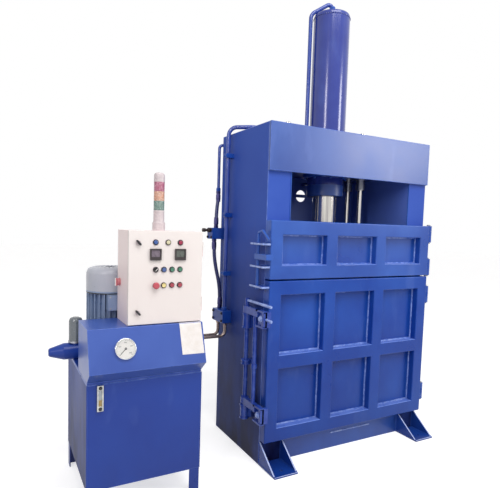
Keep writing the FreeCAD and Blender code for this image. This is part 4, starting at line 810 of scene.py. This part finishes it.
fasteners = {
    # at, axis, across flats, length, bore
    "pipeNuts": [
        ((-0.708, 0.166, 0.905), (0, 0, 1), 0.036, 0.026, 0.0143),
        ((0, 0, 3.046), (0, 0, 1), 0.04, 0.024, 0.0143),
        ((0, 0.166, 1.835), (0, 1, 0), 0.032, 0.022, 0.0113),
        ((-0.69, 0.352, 1.745), (0, 0, 1), 0.032, 0.026, 0.0113),
    ],
    "supplyNuts": [
        ((-0.708, 0.262, 0.82), (0, 0, -1), 0.03, 0.024, 0.0113),
        ((-0.708, 0.145, 0.82), (0, 0, -1), 0.03, 0.024, 0.0113),
        ((-1.18, 0.029, 0.742), (1, 0, 0), 0.03, 0.022, 0.0113),
        ((-1.18, -0.029, 0.742), (1, 0, 0), 0.03, 0.022, 0.0113),
    ],
    "clamps": {"x": -0.73, "y": (0.151, 0.181), "z": (1.975, 1.57, 1.165), "across": 0.01},
    # the blocks' face x, the screws' y, the screws' z
    "screwPlaces": [(-0.742, (0.133, 0.272), (0.836, 0.889)), (-0.77, (0.276, 0.338), (1.414, 1.466))],
    "screw": [(0, 0), (0.0085, 0), (0.0085, 0.0065), (0.0078, 0.0075), (0.0048, 0.0075), (0.0046, 0.0035),
              (0, 0.0035)],
    # the plugged adapter on the left of the upper block
    "adapterNut": ((-0.77, 0.3, 1.462), (-1, 0, 0), 0.03, 0.024, 0.008),
    "adapter": [(0, 0.022), (0.009, 0.022), (0.009, 0.036), (0.0135, 0.038), (0.0135, 0.058), (0.012, 0.06),
                (0, 0.06)],
}
build = bmesh.new()
for nut in fasteners["pipeNuts"]:
    addNut(build, *nut)
clamps = fasteners["clamps"]
for z in clamps["z"]:
    for y in clamps["y"]:
        addBolt(build, (clamps["x"], y, z), (-1, 0, 0), clamps["across"])
closePiece("pipeNuts", build, "machine", "blue_paint", "bluePaint")
build = bmesh.new()
for nut in fasteners["supplyNuts"]:
    addNut(build, *nut)
closePiece("supplyNuts", build, "machine", "machined_steel", "pipeSteel")
build = bmesh.new()
for x, ys, zs in fasteners["screwPlaces"]:
    for y in ys:
        for z in zs:
            addTurned(build, (x, y, z), (-1, 0, 0), fasteners["screw"], 16)
closePiece("blockScrews", build, "machine", "machined_steel", "darkFitting")
build = bmesh.new()
addNut(build, *fasteners["adapterNut"])
addTurned(build, fasteners["adapterNut"][0], (-1, 0, 0), fasteners["adapter"], 20)
closePiece("sideAdapter", build, "machine", "machined_steel", "darkFitting")

lock = {
    "at": (-0.715, -0.19), "shaft": 0.0138, "low": 0.253, "high": 1.046, "eye": 0.0262,
    "left": -0.735, "right": -0.707, "upperArm": (0.952, 0.997), "lowerArm": (0.362, 0.407),
    "headBack": -0.335, "headFront": -0.425, "headTall": 0.105, "wall": 0.011,
    "nose": -0.679, "noseThick": 0.0255,
    "boss": [(0, 0), (0.02, 0), (0.02, 0.013), (0.018, 0.015), (0.013, 0.015), (0.013, 0.021),
             (0.0115, 0.023), (0, 0.0234)],
    "tie": {"x": -0.721, "y": -0.31, "radius": 0.013, "collarLow": 0.622},
    "collar": [(0.012, 0.0), (0.018, 0.0), (0.019, 0.002), (0.019, 0.026), (0.018, 0.028), (0.012, 0.028)],
    "lever": {"z": 1.03, "reach": 0.295, "radius": 0.009},
    "grip": [(0, 0), (0.0085, 0), (0.0085, 0.046), (0.01, 0.048), (0.01, 0.055), (0.008, 0.058), (0, 0.0585)],
    "gripHeight": 0.947, "gripLean": (0.12, -0.985, -0.12),
}


def makeLockBar():
    x, y = lock["at"]
    left, right, back, front = lock["left"], lock["right"], lock["headBack"], lock["headFront"]
    builds = []
    for low, high in (lock["upperArm"], lock["lowerArm"]):
        # arm: a round eye on the shaft, drawn out to the head; its outline in x and -y is pushed up
        arm, head, hook, boss = bmesh.new(), bmesh.new(), bmesh.new(), bmesh.new()
        angles = [radians(-20 + 220 * k / 14) for k in range(15)]
        outline = [(x + lock["eye"] * cos(a), y + lock["eye"] * sin(a)) for a in angles]
        outline += [(left, y - 0.034), (left, back - 0.02), (right, back - 0.02), (right, y - 0.034)]
        addPrism(arm, [(px, -py) for px, py in outline], low, high, Matrix.Rotation(radians(90), 4, "X"))
        roundEdges(arm, 0.003, 2)
        # head: a channel open to the left, with the hook plate across its front
        bottom, wall = high - lock["headTall"], lock["wall"]
        channel = [(left, bottom), (right, bottom), (right, high), (left, high), (left, high - wall),
                   (right - wall, high - wall), (right - wall, bottom + wall), (left, bottom + wall)]
        addPrism(head, channel, front, back)
        roundEdges(head, 0.0022, 2)
        addBox(hook, (left + 0.004, front, bottom + 0.006),
               (lock["nose"], front + lock["noseThick"], high - 0.006))
        roundEdges(hook, 0.004, 3)
        # boss of the clamp screw in the channel, in the pale paint: part wear, part painted highlight
        addTurned(boss, (right - wall - 0.001, front + 0.036, bottom + 0.055), (-1, 0, 0), lock["boss"],
                  number=1)
        builds += [arm, head, hook, boss]
    build = bmesh.new()
    tall = lock["high"] - lock["low"]
    shaft = [(0, 0), (0.0115, 0), (lock["shaft"], 0.003), (lock["shaft"], tall - 0.004), (0.0105, tall),
             (0, tall)]
    addTurned(build, (x, y, lock["low"]), (0, 0, 1), shaft, 28)
    tie = lock["tie"]
    low, tall = lock["lowerArm"][1] - 0.004, lock["upperArm"][0] - lock["lowerArm"][1] + 0.008
    addTurned(build, (tie["x"], tie["y"], low), (0, 0, 1),
              [(0, 0), (tie["radius"], 0), (tie["radius"], tall), (0, tall)])
    addRing(build, (tie["x"], tie["y"], tie["collarLow"]), (0, 0, 1), lock["collar"])
    # lever and the upper clamp screw's grip in the pale paint, part worn by hands and part painted highlight
    lever, grip = bmesh.new(), bmesh.new()
    reach, radius = lock["lever"]["reach"], lock["lever"]["radius"]
    profile = [(0, -0.012), (radius, -0.012), (radius, reach - 0.006), (radius * 0.8, reach - 0.002),
               (0, reach)]
    addTurned(lever, (x, y, lock["lever"]["z"]), (0, -1, 0), profile, 20, 1)
    addTurned(grip, (right - 0.004, front + 0.01, lock["gripHeight"]), lock["gripLean"], lock["grip"], 18, 1)
    builds += [build, lever, grip]
    closePiece("lockBar", joinBuilds(builds), "door_lock", slotOf["lock_bar"], ["barPaint", "edgePaint"],
               "lock_bar")
    # welds of the arms and lever in the pale weld paint: painted highlight
    build = bmesh.new()
    for low, high in (lock["upperArm"], lock["lowerArm"]):
        for z, up in ((low, -1), (high, 1)):
            start, end = [(place, back - 0.001, z - 0.002) for place in (left + 0.002, right - 0.002)]
            addFillet(build, start, end, (0, 0, up), (0, 1, 0), 0.002, 0.006)
        addBead(build, (left, back, low), (right, back, low), 0.004)
    z = lock["lever"]["z"] - 0.008
    addBead(build, (x + 0.01, y - 0.012, z), (x - 0.01, y - 0.012, z), 0.0035)
    closePiece("lockWelds", build, "door_lock", "blue_paint", "weldPaint")


makeLockBar()

hingePins = {
    "x": 0.7, "y": -0.355, "rise": 0.064,
    "head": [(0, 0), (0.0155, 0), (0.0158, 0.0015), (0.015, 0.004), (0.01, 0.0062), (0, 0.007)],
}
build = bmesh.new()
for z in seams["hingeLugs"]["z"]:
    for lift in (-1, 1):
        spot = (hingePins["x"], hingePins["y"], z + lift * hingePins["rise"])
        addTurned(build, spot, (0, 0, lift), hingePins["head"])
closePiece("hingePinHeads", build, "machine", "machined_steel", "turnedSteel")
print("press fasteners made")


# the control cabinet: lamps, meters, push buttons, locks and the isolator handle

panel = {
    "skin": -0.425, "x": [-1.39, -1.346, -1.302, -1.258], "rows": [1.257, 1.1745],
    "lampX": [-1.392, -1.325, -1.258], "lampZ": 1.399, "lamps": ["lampBlue", "lampClear", "lampRed"],
    "bezel": [(0.0114, 0.0), (0.0114, 0.005), (0.0122, 0.0062), (0.0136, 0.0058), (0.0146, 0.004),
              (0.0146, 0.0)],
    "washer": [(0.015, 0.0), (0.015, 0.0016), (0.0156, 0.002), (0.0168, 0.0018), (0.0172, 0.001),
               (0.0172, 0.0)],
    "stem": [(0, -0.0085), (0.006, -0.0085), (0.006, -0.0068), (0.009, -0.0068), (0.009, -0.0028),
             (0.006, -0.0028), (0.006, 0.0048)],
    "cap": [(0.0098, 0.0048), (0.0109, 0.0056), (0.011, 0.0088), (0.0106, 0.0097), (0.0098, 0.01),
            (0.0084, 0.0092), (0, 0.0089)],
    "mushroom": [(0.009, 0.0048), (0.009, 0.0134), (0.0155, 0.0136), (0.0178, 0.0152), (0.018, 0.0175),
                 (0.0172, 0.0204), (0.015, 0.0225), (0.0115, 0.0236), (0.006, 0.024), (0, 0.024)],
    "dome": [(0, 0.0), (0.0112, 0.0), (0.0112, 0.0062), (0.0106, 0.008), (0.009, 0.0092), (0.006, 0.0099),
             (0, 0.01)],
}
bezels, washers = bmesh.new(), bmesh.new()
places = [(x, z) for x in panel["x"] for z in panel["rows"]] + [(x, panel["lampZ"]) for x in panel["lampX"]]
for x, z in places:
    addRing(bezels, (x, panel["skin"], z), (0, -1, 0), panel["bezel"], 28)
    addRing(washers, (x, panel["skin"], z), (0, -1, 0), panel["washer"], 28)
closePiece("panelBezels", bezels, "cabinet_door", "dark_plastic", "darkPlastic", "panel_instruments")
closePiece("panelWashers", washers, "cabinet_door", "grey_plastic", "greyPlastic")
for x, finish in zip(panel["lampX"], panel["lamps"]):
    build = bmesh.new()
    addTurned(build, (x, panel["skin"], panel["lampZ"]), (0, -1, 0), panel["dome"], 28)
    closePiece(finish + "Lens", build, "cabinet_door", "lens_plastic", finish)

buttons = {
    "blue_button": (1, 0, "bluePlastic"), "left_green_button": (2, 0, "greenPlastic"),
    "right_green_button": (3, 0, "greenPlastic"), "yellow_button": (1, 1, "yellowPlastic"),
    "left_red_button": (2, 1, "redPlastic"), "right_red_button": (3, 1, "redPlastic"),
    "emergency_stop": (0, 1, "stopPlastic"),
}
for node, (column, row, finish) in buttons.items():
    build = bmesh.new()
    head = panel["mushroom"] if node == "emergency_stop" else panel["cap"]
    addTurned(build, (panel["x"][column], panel["skin"], panel["rows"][row]), (0, -1, 0),
              panel["stem"] + head, 32)
    closePiece(node + "Cap", build, bodyOf[node], slotOf[node], finish, node)

selector = {
    "wide": 0.0034, "long": 0.01, "corner": (0.0015, 0.002), "top": 0.018, "line": 0.0011, "turn": 45,
    "head": [(0.0105, 0.0048), (0.011, 0.0056), (0.011, 0.0092), (0.0102, 0.01), (0, 0.01)],
}
build = bmesh.new()
at = (panel["x"][0], panel["skin"], panel["rows"][0])
addTurned(build, at, (0, -1, 0), panel["stem"] + selector["head"], 32)
turn = Matrix.Translation(at) @ Matrix.Rotation(radians(selector["turn"]), 4, "Y")
wide, long, top = selector["wide"], selector["long"], selector["top"]
inX, inZ = wide - selector["corner"][0], long - selector["corner"][1]
grip = [(-wide, -inZ), (-inX, -long), (inX, -long), (wide, -inZ), (wide, inZ), (inX, long), (-inX, long),
        (-wide, inZ)]
addPrism(build, grip, -top, -0.0098, turn)
line = oblong(selector["line"], -long * 0.9, long * 0.9)
addPrism(build, line, -top - 0.0002, -top + 0.0004, turn, number=1)
closePiece("selectorKnob", build, "selector", "dark_plastic", ["darkPlastic", "dialCard"], "selector_switch")

meters = {
    "x": {"leftMeter": (-1.392, "purpleCard"), "rightMeter": (-1.258, "greenCard")}, "z": 1.336,
    "lines": [-0.03, -0.023, 0.023, 0.03], "rows": [-0.03, -0.013, 0.023, 0.03], "deep": 0.012,
    "card": 0.0065, "half": 0.0232, "low": -0.0132, "pivot": -0.01, "scale": 0.027, "ticks": 9, "sweep": 84,
    "needle": 30, "stud": [(0, 0), (0.0035, 0), (0.0033, 0.0012), (0, 0.0014)],
}
for name, (x, finish) in meters["x"].items():
    build = bmesh.new()
    gridPlate(build, [x + v for v in meters["lines"]], [meters["z"] + v for v in meters["rows"]], {(1, 1)},
              panel["skin"] - meters["deep"], panel["skin"] - 0.0002)
    roundEdges(build, 0.0016, 2, edges=[e for e in build.edges if e.is_convex and e.calc_face_angle(0) > 1])
    addTurned(build, (x, panel["skin"] - meters["deep"] + 0.0004, meters["z"] - 0.0215), (0, -1, 0),
              meters["stud"], 16)
    closePiece(name + "Frame", build, "cabinet_door", "dark_plastic", "brownPlastic")
    build = bmesh.new()
    face, half = panel["skin"] - meters["card"], meters["half"]
    addBox(build, (x - half, face, meters["z"] + meters["low"]),
           (x + half, panel["skin"] - 0.0003, meters["z"] + half))
    pivot = Matrix.Translation((x, face, meters["z"] + meters["pivot"]))
    for k in range(meters["ticks"]):
        angle = radians(meters["sweep"] * (k / (meters["ticks"] - 1) - 0.5))
        long = 0.0042 if k % 2 == 0 else 0.0026
        mark = oblong(0.0003, meters["scale"], meters["scale"] - long)
        addPrism(build, mark, -0.0001, 0.0002, pivot @ Matrix.Rotation(angle, 4, "Y"), number=1)
    tip = meters["scale"] - 0.004
    needle = [(-0.0006, -0.002), (0.0006, -0.002), (0.0003, tip), (-0.0003, tip)]
    turn = pivot @ Matrix.Rotation(radians(-meters["needle"]), 4, "Y")
    addPrism(build, needle, -0.0014, -0.0006, turn, number=1)
    closePiece(name + "Card", build, "cabinet_door", "lens_plastic", [finish, "darkPlastic"])

locks = {
    "x": -1.482, "z": {"top_door_lock": 1.396, "bottom_door_lock": 1.037},
    "wing": (0.0052, 0.017), "turn": 42,
    # the spindle through the door, and the cam that reaches up behind its edge
    "spindle": (0.0055, 0.026), "camBehind": 0.022, "camThick": 0.003, "camHalf": 0.007, "camReach": 0.038,
    "disc": [(0, 0.0003), (0.0128, 0.0003), (0.013, 0.001), (0.0128, 0.0034), (0.0118, 0.0042), (0, 0.0042)],
}


def makeDoorLock(node, z):
    build = bmesh.new()
    at = (locks["x"], panel["skin"], z)
    addTurned(build, at, (0, -1, 0), locks["disc"], 28, number=1)
    turn = Matrix.Translation(at) @ Matrix.Rotation(radians(-locks["turn"]), 4, "Y")
    wide, long = locks["wing"]
    outline = []
    for sign in (1, -1):
        for k in range(7):
            angle = radians(180 * k / 6)
            outline.append((sign * wide * cos(angle), sign * (long - wide + wide * sin(angle))))
    addPrism(build, outline, -0.016, -0.0038, turn)
    radius, tall = locks["spindle"]
    addTurned(build, (locks["x"], panel["skin"] - 0.001, z), (0, 1, 0),
              [(0, 0), (radius, 0), (radius, tall), (0, tall)], 20)
    inside, half = panel["skin"] + locks["camBehind"], locks["camHalf"]
    addBox(build, (locks["x"] - half, inside, z - half),
           (locks["x"] + half, inside + locks["camThick"], z + locks["camReach"]))
    closePiece(node + "Wing", build, bodyOf[node], slotOf[node], ["darkPlastic", "greyPlastic"], node)


for node, z in locks["z"].items():
    makeDoorLock(node, z)

isolator = {
    "at": (-1.531, -0.245, 1.177), "wide": 0.0055, "long": 0.0205, "depths": (0.0135, 0.022, 0.0258),
    "dial": [(0, 0.0003), (0.0208, 0.0003), (0.021, 0.0012), (0.021, 0.005), (0.019, 0.0062),
             (0.0188, 0.0125), (0.0176, 0.014), (0, 0.014)],
}
build = bmesh.new()
addTurned(build, isolator["at"], (-1, 0, 0), isolator["dial"], 36)
x, y, z = isolator["at"]
wide, long = isolator["wide"], isolator["long"]
# the handle's grip, and the pale bar on it
for number, (near, far) in enumerate(zip(isolator["depths"], isolator["depths"][1:])):
    addBox(build, (x - far, y - wide, z - long), (x - near, y + wide, z + long), number)
closePiece("isolatorHandle", build, "isolator", "red_plastic", ["knobPlastic", "dialCard"], "main_switch")
print("cabinet fittings made")


# the signal stack: pale base and cap, three ribbed lenses

stack = {
    "at": (-1.341, -0.308, 0.0), "lens": 0.029, "core": 0.0126, "ribs": 8,
    "rings": {"lensGreen": 1.5674, "lensAmber": 1.6178, "lensRed": 1.6682}, "tall": 0.05,
    "body": [(0, 1.458), (0.034, 1.458), (0.034, 1.499), (0.0325, 1.502), (0.029, 1.508), (0.029, 1.55),
             (0.028, 1.5508), (0.028, 1.553), (0.029, 1.5538), (0.029, 1.5664), (0.0284, 1.567),
             (0.012, 1.567), (0.012, 1.7186), (0.0284, 1.7186), (0.029, 1.7192), (0.029, 1.75),
             (0.028, 1.758), (0.025, 1.764), (0.02, 1.7676), (0, 1.7686)],
}
build = bmesh.new()
addTurned(build, stack["at"], (0, 0, 1), stack["body"], 40)
closePiece("stackBody", build, "machine", "grey_plastic", "greyPlastic", "stack_light_body")
replacedLens = ["stack_light_lenses"]
for finish, low in stack["rings"].items():
    outline = [(stack["core"], low), (stack["lens"] - 0.0006, low)]
    for k in range(stack["ribs"]):
        z = low + 0.002 + (stack["tall"] - 0.004) * k / stack["ribs"]
        outline += [(stack["lens"] - 0.0012, z), (stack["lens"], z + 0.0015), (stack["lens"], z + 0.0035)]
    outline += [(stack["lens"] - 0.0006, low + stack["tall"]), (stack["core"], low + stack["tall"])]
    build = bmesh.new()
    addRing(build, stack["at"], (0, 0, 1), outline, 40)
    closePiece(finish + "Ring", build, "machine", "lens_plastic", finish, *replacedLens)
    replacedLens = []
print("signal stack made")


# the console: pressure gauge, blank data sheet, level gauge

slope = {"top": (-0.438, 0.968), "fall": 0.208, "reach": 0.069}
slopeLong = hypot(slope["fall"], slope["reach"])


def slopeFrame(x, down, rise=0.0):
    # a place on the console's sloping face: x, distance down from its top edge, height above it
    up = Vector((0, slope["reach"], slope["fall"])) / slopeLong
    out = Vector((0, -slope["fall"], slope["reach"])) / slopeLong
    spot = Vector((x, *slope["top"])) - up * down + out * rise
    return Matrix.Translation(spot) @ Matrix(((1, 0, 0), up, out)).transposed().to_4x4()


gauge = {
    "x": -1.553, "down": 0.49 * slopeLong, "dialRise": 0.0071, "dialRadius": 0.0488,
    "numbers": ["0", "100", "200", "300", "400"],
    "sweep": 270, "ticks": 40, "tickEnd": 0.0445, "textSize": 0.0088, "textRadius": 0.031,
    "case": [(0, -0.03), (0.046, -0.03), (0.046, 0.0), (0.054, 0.0), (0.054, 0.0095), (0.0534, 0.0122),
             (0.052, 0.0137), (0.0506, 0.014), (0.0496, 0.0134), (0.049, 0.012), (0.049, 0.007), (0, 0.007)],
    "spindle": [(0, 0.007), (0.002, 0.007), (0.002, 0.0112), (0.0014, 0.0118), (0, 0.0118)],
    "glass": [(0, 0.0126), (0.0484, 0.0122), (0.0484, 0.0128), (0.03, 0.0134), (0, 0.0138)],
}


def makeGauge():
    place = slopeFrame(gauge["x"], gauge["down"])
    out = place.to_3x3() @ Vector((0, 0, 1))
    build = bmesh.new()
    addTurned(build, place.translation, out, gauge["case"], 56)
    addTurned(build, place.translation, out, gauge["spindle"], 16)
    closePiece("gaugeCase", build, "machine", "gauge_metal", "polishedCase", "gauge_case")
    build = bmesh.new()
    rise, radius = gauge["dialRise"], gauge["dialRadius"]
    addTurned(build, place.translation, out,
              [(0, rise - 0.0006), (radius, rise - 0.0006), (radius, rise), (0, rise)], 48)
    for k in range(gauge["ticks"] + 1):
        # one mark, 0.3 mm proud, pointing away from the centre
        angle = radians(-gauge["sweep"] / 2 + gauge["sweep"] * k / gauge["ticks"])
        turn = place @ Matrix.Rotation(-angle, 4, "Z")
        long = 0.0072 if k % 10 == 0 else 0.0048 if k % 5 == 0 else 0.003
        mark = oblong(0.0007 if k % 10 == 0 else 0.0004, gauge["tickEnd"] - long, gauge["tickEnd"])
        rows = [[build.verts.new(turn @ Vector((x, y, z))) for x, y in mark]
                for z in (rise - 0.0002, rise + 0.0003)]
        for row in rows:
            build.faces.new(row).material_index = 1
        joinRings(build, *rows, number=1)
    closePiece("gaugeDial", build, "machine", "gauge_metal", ["dialCard", "darkPlastic"])
    for k, words in enumerate(gauge["numbers"]):
        angle = radians(-gauge["sweep"] / 2 + gauge["sweep"] * k / (len(gauge["numbers"]) - 1))
        text = bpy.data.curves.new("dialNumber" + words, "FONT")
        text.body = words
        text.size = gauge["textSize"]
        text.align_x = "CENTER"
        text.align_y = "CENTER"
        text.extrude = 0.0001
        piece = bpy.data.objects.new("dialNumber" + words, text)
        far = gauge["textRadius"]
        piece.matrix_world = place @ Matrix.Translation((far * sin(angle), far * cos(angle), rise + 0.0003))
        bpy.context.scene.collection.objects.link(piece)
        finishPiece(piece, "machine", "gauge_metal", "darkPlastic")
    build = bmesh.new()
    addTurned(build, place.translation, out, gauge["glass"], 48)
    closePiece("gaugeGlass", build, "machine", "gauge_metal", "coverGlass")


makeGauge()

dataSheet = {
    # x and distance down the slope of its corners; it runs on over the ledge under the cabinet
    "topLeft": (-1.26, -0.009), "topRight": (-1.137, -0.009),
    "lowLeft": (-1.257, 0.166), "lowRight": (-1.133, 0.168),
    "steps": 24, "under": 0.0003, "thick": 0.0009, "corner": 0.0016, "creaseWide": 0.05, "creaseLong": 0.4,
    "creases": [
        # where across, where down, how steep, how high
        (0.3, 0.22, 0.35, 0.0007), (0.72, 0.14, -0.2, 0.0009), (0.55, 0.62, 0.9, 0.0006),
        (0.85, 0.5, -1.4, 0.0005), (0.2, 0.8, 0.15, 0.0005), (0.5, 0.4, -0.1, 0.0006)],
}
build = bmesh.new()
steps = dataSheet["steps"]
layers = []
for layer in ("under", "thick"):
    grid = []
    for row in range(steps + 1):
        line = []
        for column in range(steps + 1):
            u, v = column / steps, row / steps
            top = Vector(dataSheet["topLeft"]).lerp(Vector(dataSheet["topRight"]), u)
            x, down = top.lerp(Vector(dataSheet["lowLeft"]).lerp(Vector(dataSheet["lowRight"]), u), v)
            # the lower corners have lifted a little, and it is creased from handling
            lift = dataSheet["corner"] * abs(2 * u - 1) ** 4 * v ** 4
            for across, deep, steep, high in dataSheet["creases"]:
                far = abs((v - deep) - steep * (u - across)) / hypot(1, steep)
                near = max(0.0, 1 - hypot(u - across, v - deep) / dataSheet["creaseLong"])
                lift += high * max(0.0, 1 - far / dataSheet["creaseWide"]) * near
            rise = dataSheet[layer] + lift * (0 < v < 1)
            if down < 0:
                line.append(build.verts.new((x, slope["top"][0] - down, slope["top"][1] + rise)))
            else:
                line.append(build.verts.new(slopeFrame(x, down, rise).translation))
        grid.append(line)
    layers.append(grid)
for grid in layers:
    for near, far in zip(grid, grid[1:]):
        for k in range(steps):
            build.faces.new((near[k], near[k + 1], far[k + 1], far[k]))
rims = []
for grid in layers:
    right, left = [line[-1] for line in grid[1:]], [line[0] for line in grid[-2:0:-1]]
    rims.append(grid[0] + right + grid[-1][-2::-1] + left)
joinRings(build, *rims)
closePiece("dataSheet", build, "machine", "cream_paint", "sheetCard")

level = {
    # z: bottom of the window, top of the oil, top of the window
    "x": (-1.676, -1.66), "z": (0.58, 0.612, 0.66), "face": -0.4455, "thick": 0.0035,
    "bolts": {"x": -1.668, "y": -0.45, "z": (0.567, 0.673), "across": 0.014},
}
build = bmesh.new()
for number, (low, high) in enumerate(zip(level["z"], level["z"][1:])):
    addBox(build, (level["x"][0], level["face"], low), (level["x"][1], level["face"] + level["thick"], high),
           number)
closePiece("levelWindow", build, "machine", "level_metal", ["amberOil", "clearWindow"])
build = bmesh.new()
bolts = level["bolts"]
for z in bolts["z"]:
    addBolt(build, (bolts["x"], bolts["y"], z), (0, -1, 0), bolts["across"])
closePiece("levelBolts", build, "machine", "dark_plastic", "darkPlastic")
print("console fittings made")


# the motor, the filter and the tank: a dark ring of painted shadow under the cowl, blank rating plate, bolts,
# ring and welds

motor = {
    "x": -1.532, "y": -0.015, "shadowRingLow": 1.0935,
    "shadowRing": [(0.11, 0.0), (0.1328, 0.0), (0.1336, 0.001), (0.1336, 0.0052), (0.1328, 0.0062), (0.11, 0.0062)],
    "plate": {"turn": 306, "z": 0.925, "half": (0.021, 0.019), "y": (-0.134, -0.1325),
              "screws": (0.018, 0.016)},
    "plateScrew": [(0, 0), (0.0016, 0), (0.0014, 0.0008), (0, 0.001)],
    "bolts": {"circle": 0.129, "z": 0.848, "across": 0.019},
    "boxScrews": {"x": (-0.034, 0.034), "y": -0.184, "z": (1.02, 1.084)},
    "boxScrew": [(0, 0), (0.0042, 0), (0.004, 0.002), (0, 0.0026)],
}
# a dark ring under the cowl's flange: painted shadow of the gap there
build = bmesh.new()
addRing(build, (motor["x"], motor["y"], motor["shadowRingLow"]), (0, 0, 1), motor["shadowRing"], 56)
closePiece("cowlShadowRing", build, "machine", "dark_plastic", "darkPlastic")
build = bmesh.new()
plate = motor["plate"]
spin = Matrix.Rotation(radians(plate["turn"]), 4, "Z")
spin.translation = (motor["x"], motor["y"], plate["z"])
addPrism(build, oblong(plate["half"][0], -plate["half"][1], plate["half"][1]), *plate["y"], spin)
for x in (-plate["screws"][0], plate["screws"][0]):
    for z in (-plate["screws"][1], plate["screws"][1]):
        spot = spin @ Vector((x, plate["y"][0], z))
        addTurned(build, spot, spin.to_3x3() @ Vector((0, -1, 0)), motor["plateScrew"], 10)
closePiece("ratingPlate", build, "machine", "machined_steel", "zincSteel")
build = bmesh.new()
circle = motor["bolts"]["circle"]
for angle in [radians(45 + 90 * k) for k in range(4)]:
    spot = (motor["x"] + circle * cos(angle), motor["y"] + circle * sin(angle), motor["bolts"]["z"])
    addBolt(build, spot, (0, 0, 1), motor["bolts"]["across"])
screws = motor["boxScrews"]
for x in screws["x"]:
    for z in screws["z"]:
        addTurned(build, (motor["x"] + x, screws["y"], z), (0, -1, 0), motor["boxScrew"], 14)
closePiece("motorBolts", build, "machine", "machined_steel", "zincSteel")

canister = {
    "at": (-1.716, 0.03, 0.8012),
    "ring": [(0.0375, 0.0), (0.0412, 0.0), (0.0418, 0.0012), (0.0418, 0.0086), (0.0412, 0.0098),
             (0.0375, 0.0098)],
}
build = bmesh.new()
addRing(build, canister["at"], (0, 0, 1), canister["ring"], 40)
closePiece("canisterRing", build, "machine", "motor_paint", "turnedSteel")

# the beads lie a little inside the tank's corners
tank = {"x": (-1.731134, -1.125437), "y": (-0.437562, 0.1998), "z": (0.14, 0.69), "bead": 0.0028}
build = bmesh.new()
for x in tank["x"]:
    for y in tank["y"]:
        addBead(build, (x, y, tank["z"][0]), (x, y, tank["z"][1]), tank["bead"])
closePiece("tankWelds", build, "machine", "blue_paint", "packPaint")
print("pack fittings made")


# floor and light

studio = {
    "floor": (srgb(190, 190, 191), srgb(230, 230, 230)),
    "floorSize": 60, "floorDrop": 0.0005, "floorGlow": 0.64,
    "world": 0.47, "worldTint": (1.0, 0.985, 0.98, 1.0),
    "lamps": [
        # name, place, target, width, height, power, colour
        ("ceilingLamp", (-0.6, -3.4, 5.8), (-0.5, -0.3, 1.0), 4.2, 2.6, 220, (1.0, 0.99, 0.98)),
        ("rightLamp", (4.7, -5.0, 3.5), (0.0, -0.2, 1.9), 1.5, 2.2, 130, (1.0, 0.99, 0.97)),
        ("leftLamp", (-5.6, -4.2, 3.7), (-0.3, 0.0, 1.9), 1.1, 1.9, 90, (1.0, 0.94, 0.93)),
    ],
}


def shownDirectly(tree):
    # 1 for what the camera sees, straight or in a reflection or through glass
    rays = tree.nodes.new("ShaderNodeLightPath")
    shown = addMath(tree, "MAXIMUM", rays.outputs["Is Camera Ray"], rays.outputs["Is Glossy Ray"])
    return addMath(tree, "MAXIMUM", shown, rays.outputs["Is Transmission Ray"])


def makeStage():
    build = bmesh.new()
    bmesh.ops.create_grid(build, x_segments=1, y_segments=1, size=studio["floorSize"] / 2)
    floor = pieceFromMesh("floor", build)
    floor.location = (0, 0, -studio["floorDrop"])
    material, tree, shader, place = startMaterial("paleFloor")
    tone = addMix(tree, addNoise(tree, place, 3.0), *studio["floor"])
    tree.links.new(tone, shader.inputs["Base Color"])
    shader.inputs["Roughness"].default_value = 0.8
    shader.inputs["Specular IOR Level"].default_value = 0.2
    # it shines a little for the camera and in reflections, so that it reads white and keeps its shadow
    glow = addMath(tree, "MULTIPLY", shownDirectly(tree), studio["floorGlow"])
    shader.inputs["Emission Color"].default_value = (1, 1, 1, 1)
    tree.links.new(glow, shader.inputs["Emission Strength"])
    floor.data.materials.append(material)

    world = bpy.data.worlds.new("studio")
    bpy.context.scene.world = world
    world.use_nodes = True
    tree = world.node_tree
    plain = tree.nodes["Background"]
    plain.inputs["Color"].default_value = studio["worldTint"]
    plain.inputs["Strength"].default_value = studio["world"]
    seen = tree.nodes.new("ShaderNodeBackground")
    seen.inputs["Color"].default_value = (1, 1, 1, 1)
    seen.inputs["Strength"].default_value = 1.0
    mix = tree.nodes.new("ShaderNodeMixShader")
    tree.links.new(shownDirectly(tree), mix.inputs["Fac"])
    tree.links.new(plain.outputs["Background"], mix.inputs[1])
    tree.links.new(seen.outputs["Background"], mix.inputs[2])
    tree.links.new(mix.outputs["Shader"], tree.nodes["World Output"].inputs["Surface"])


def addLamp(name, at, target, wide, high, power, colour):
    light = bpy.data.lights.new(name, "AREA")
    light.shape = "RECTANGLE"
    light.size = wide
    light.size_y = high
    light.energy = power
    light.color = colour
    lamp = bpy.data.objects.new(name, light)
    lamp.location = at
    lamp.rotation_euler = (Vector(target) - Vector(at)).to_track_quat("-Z", "Y").to_euler()
    bpy.context.scene.collection.objects.link(lamp)


makeStage()
for lamp in studio["lamps"]:
    addLamp(*lamp)
bpy.context.scene.view_settings.view_transform = "Standard"
print("stage and lamps set")

settleModifiers()
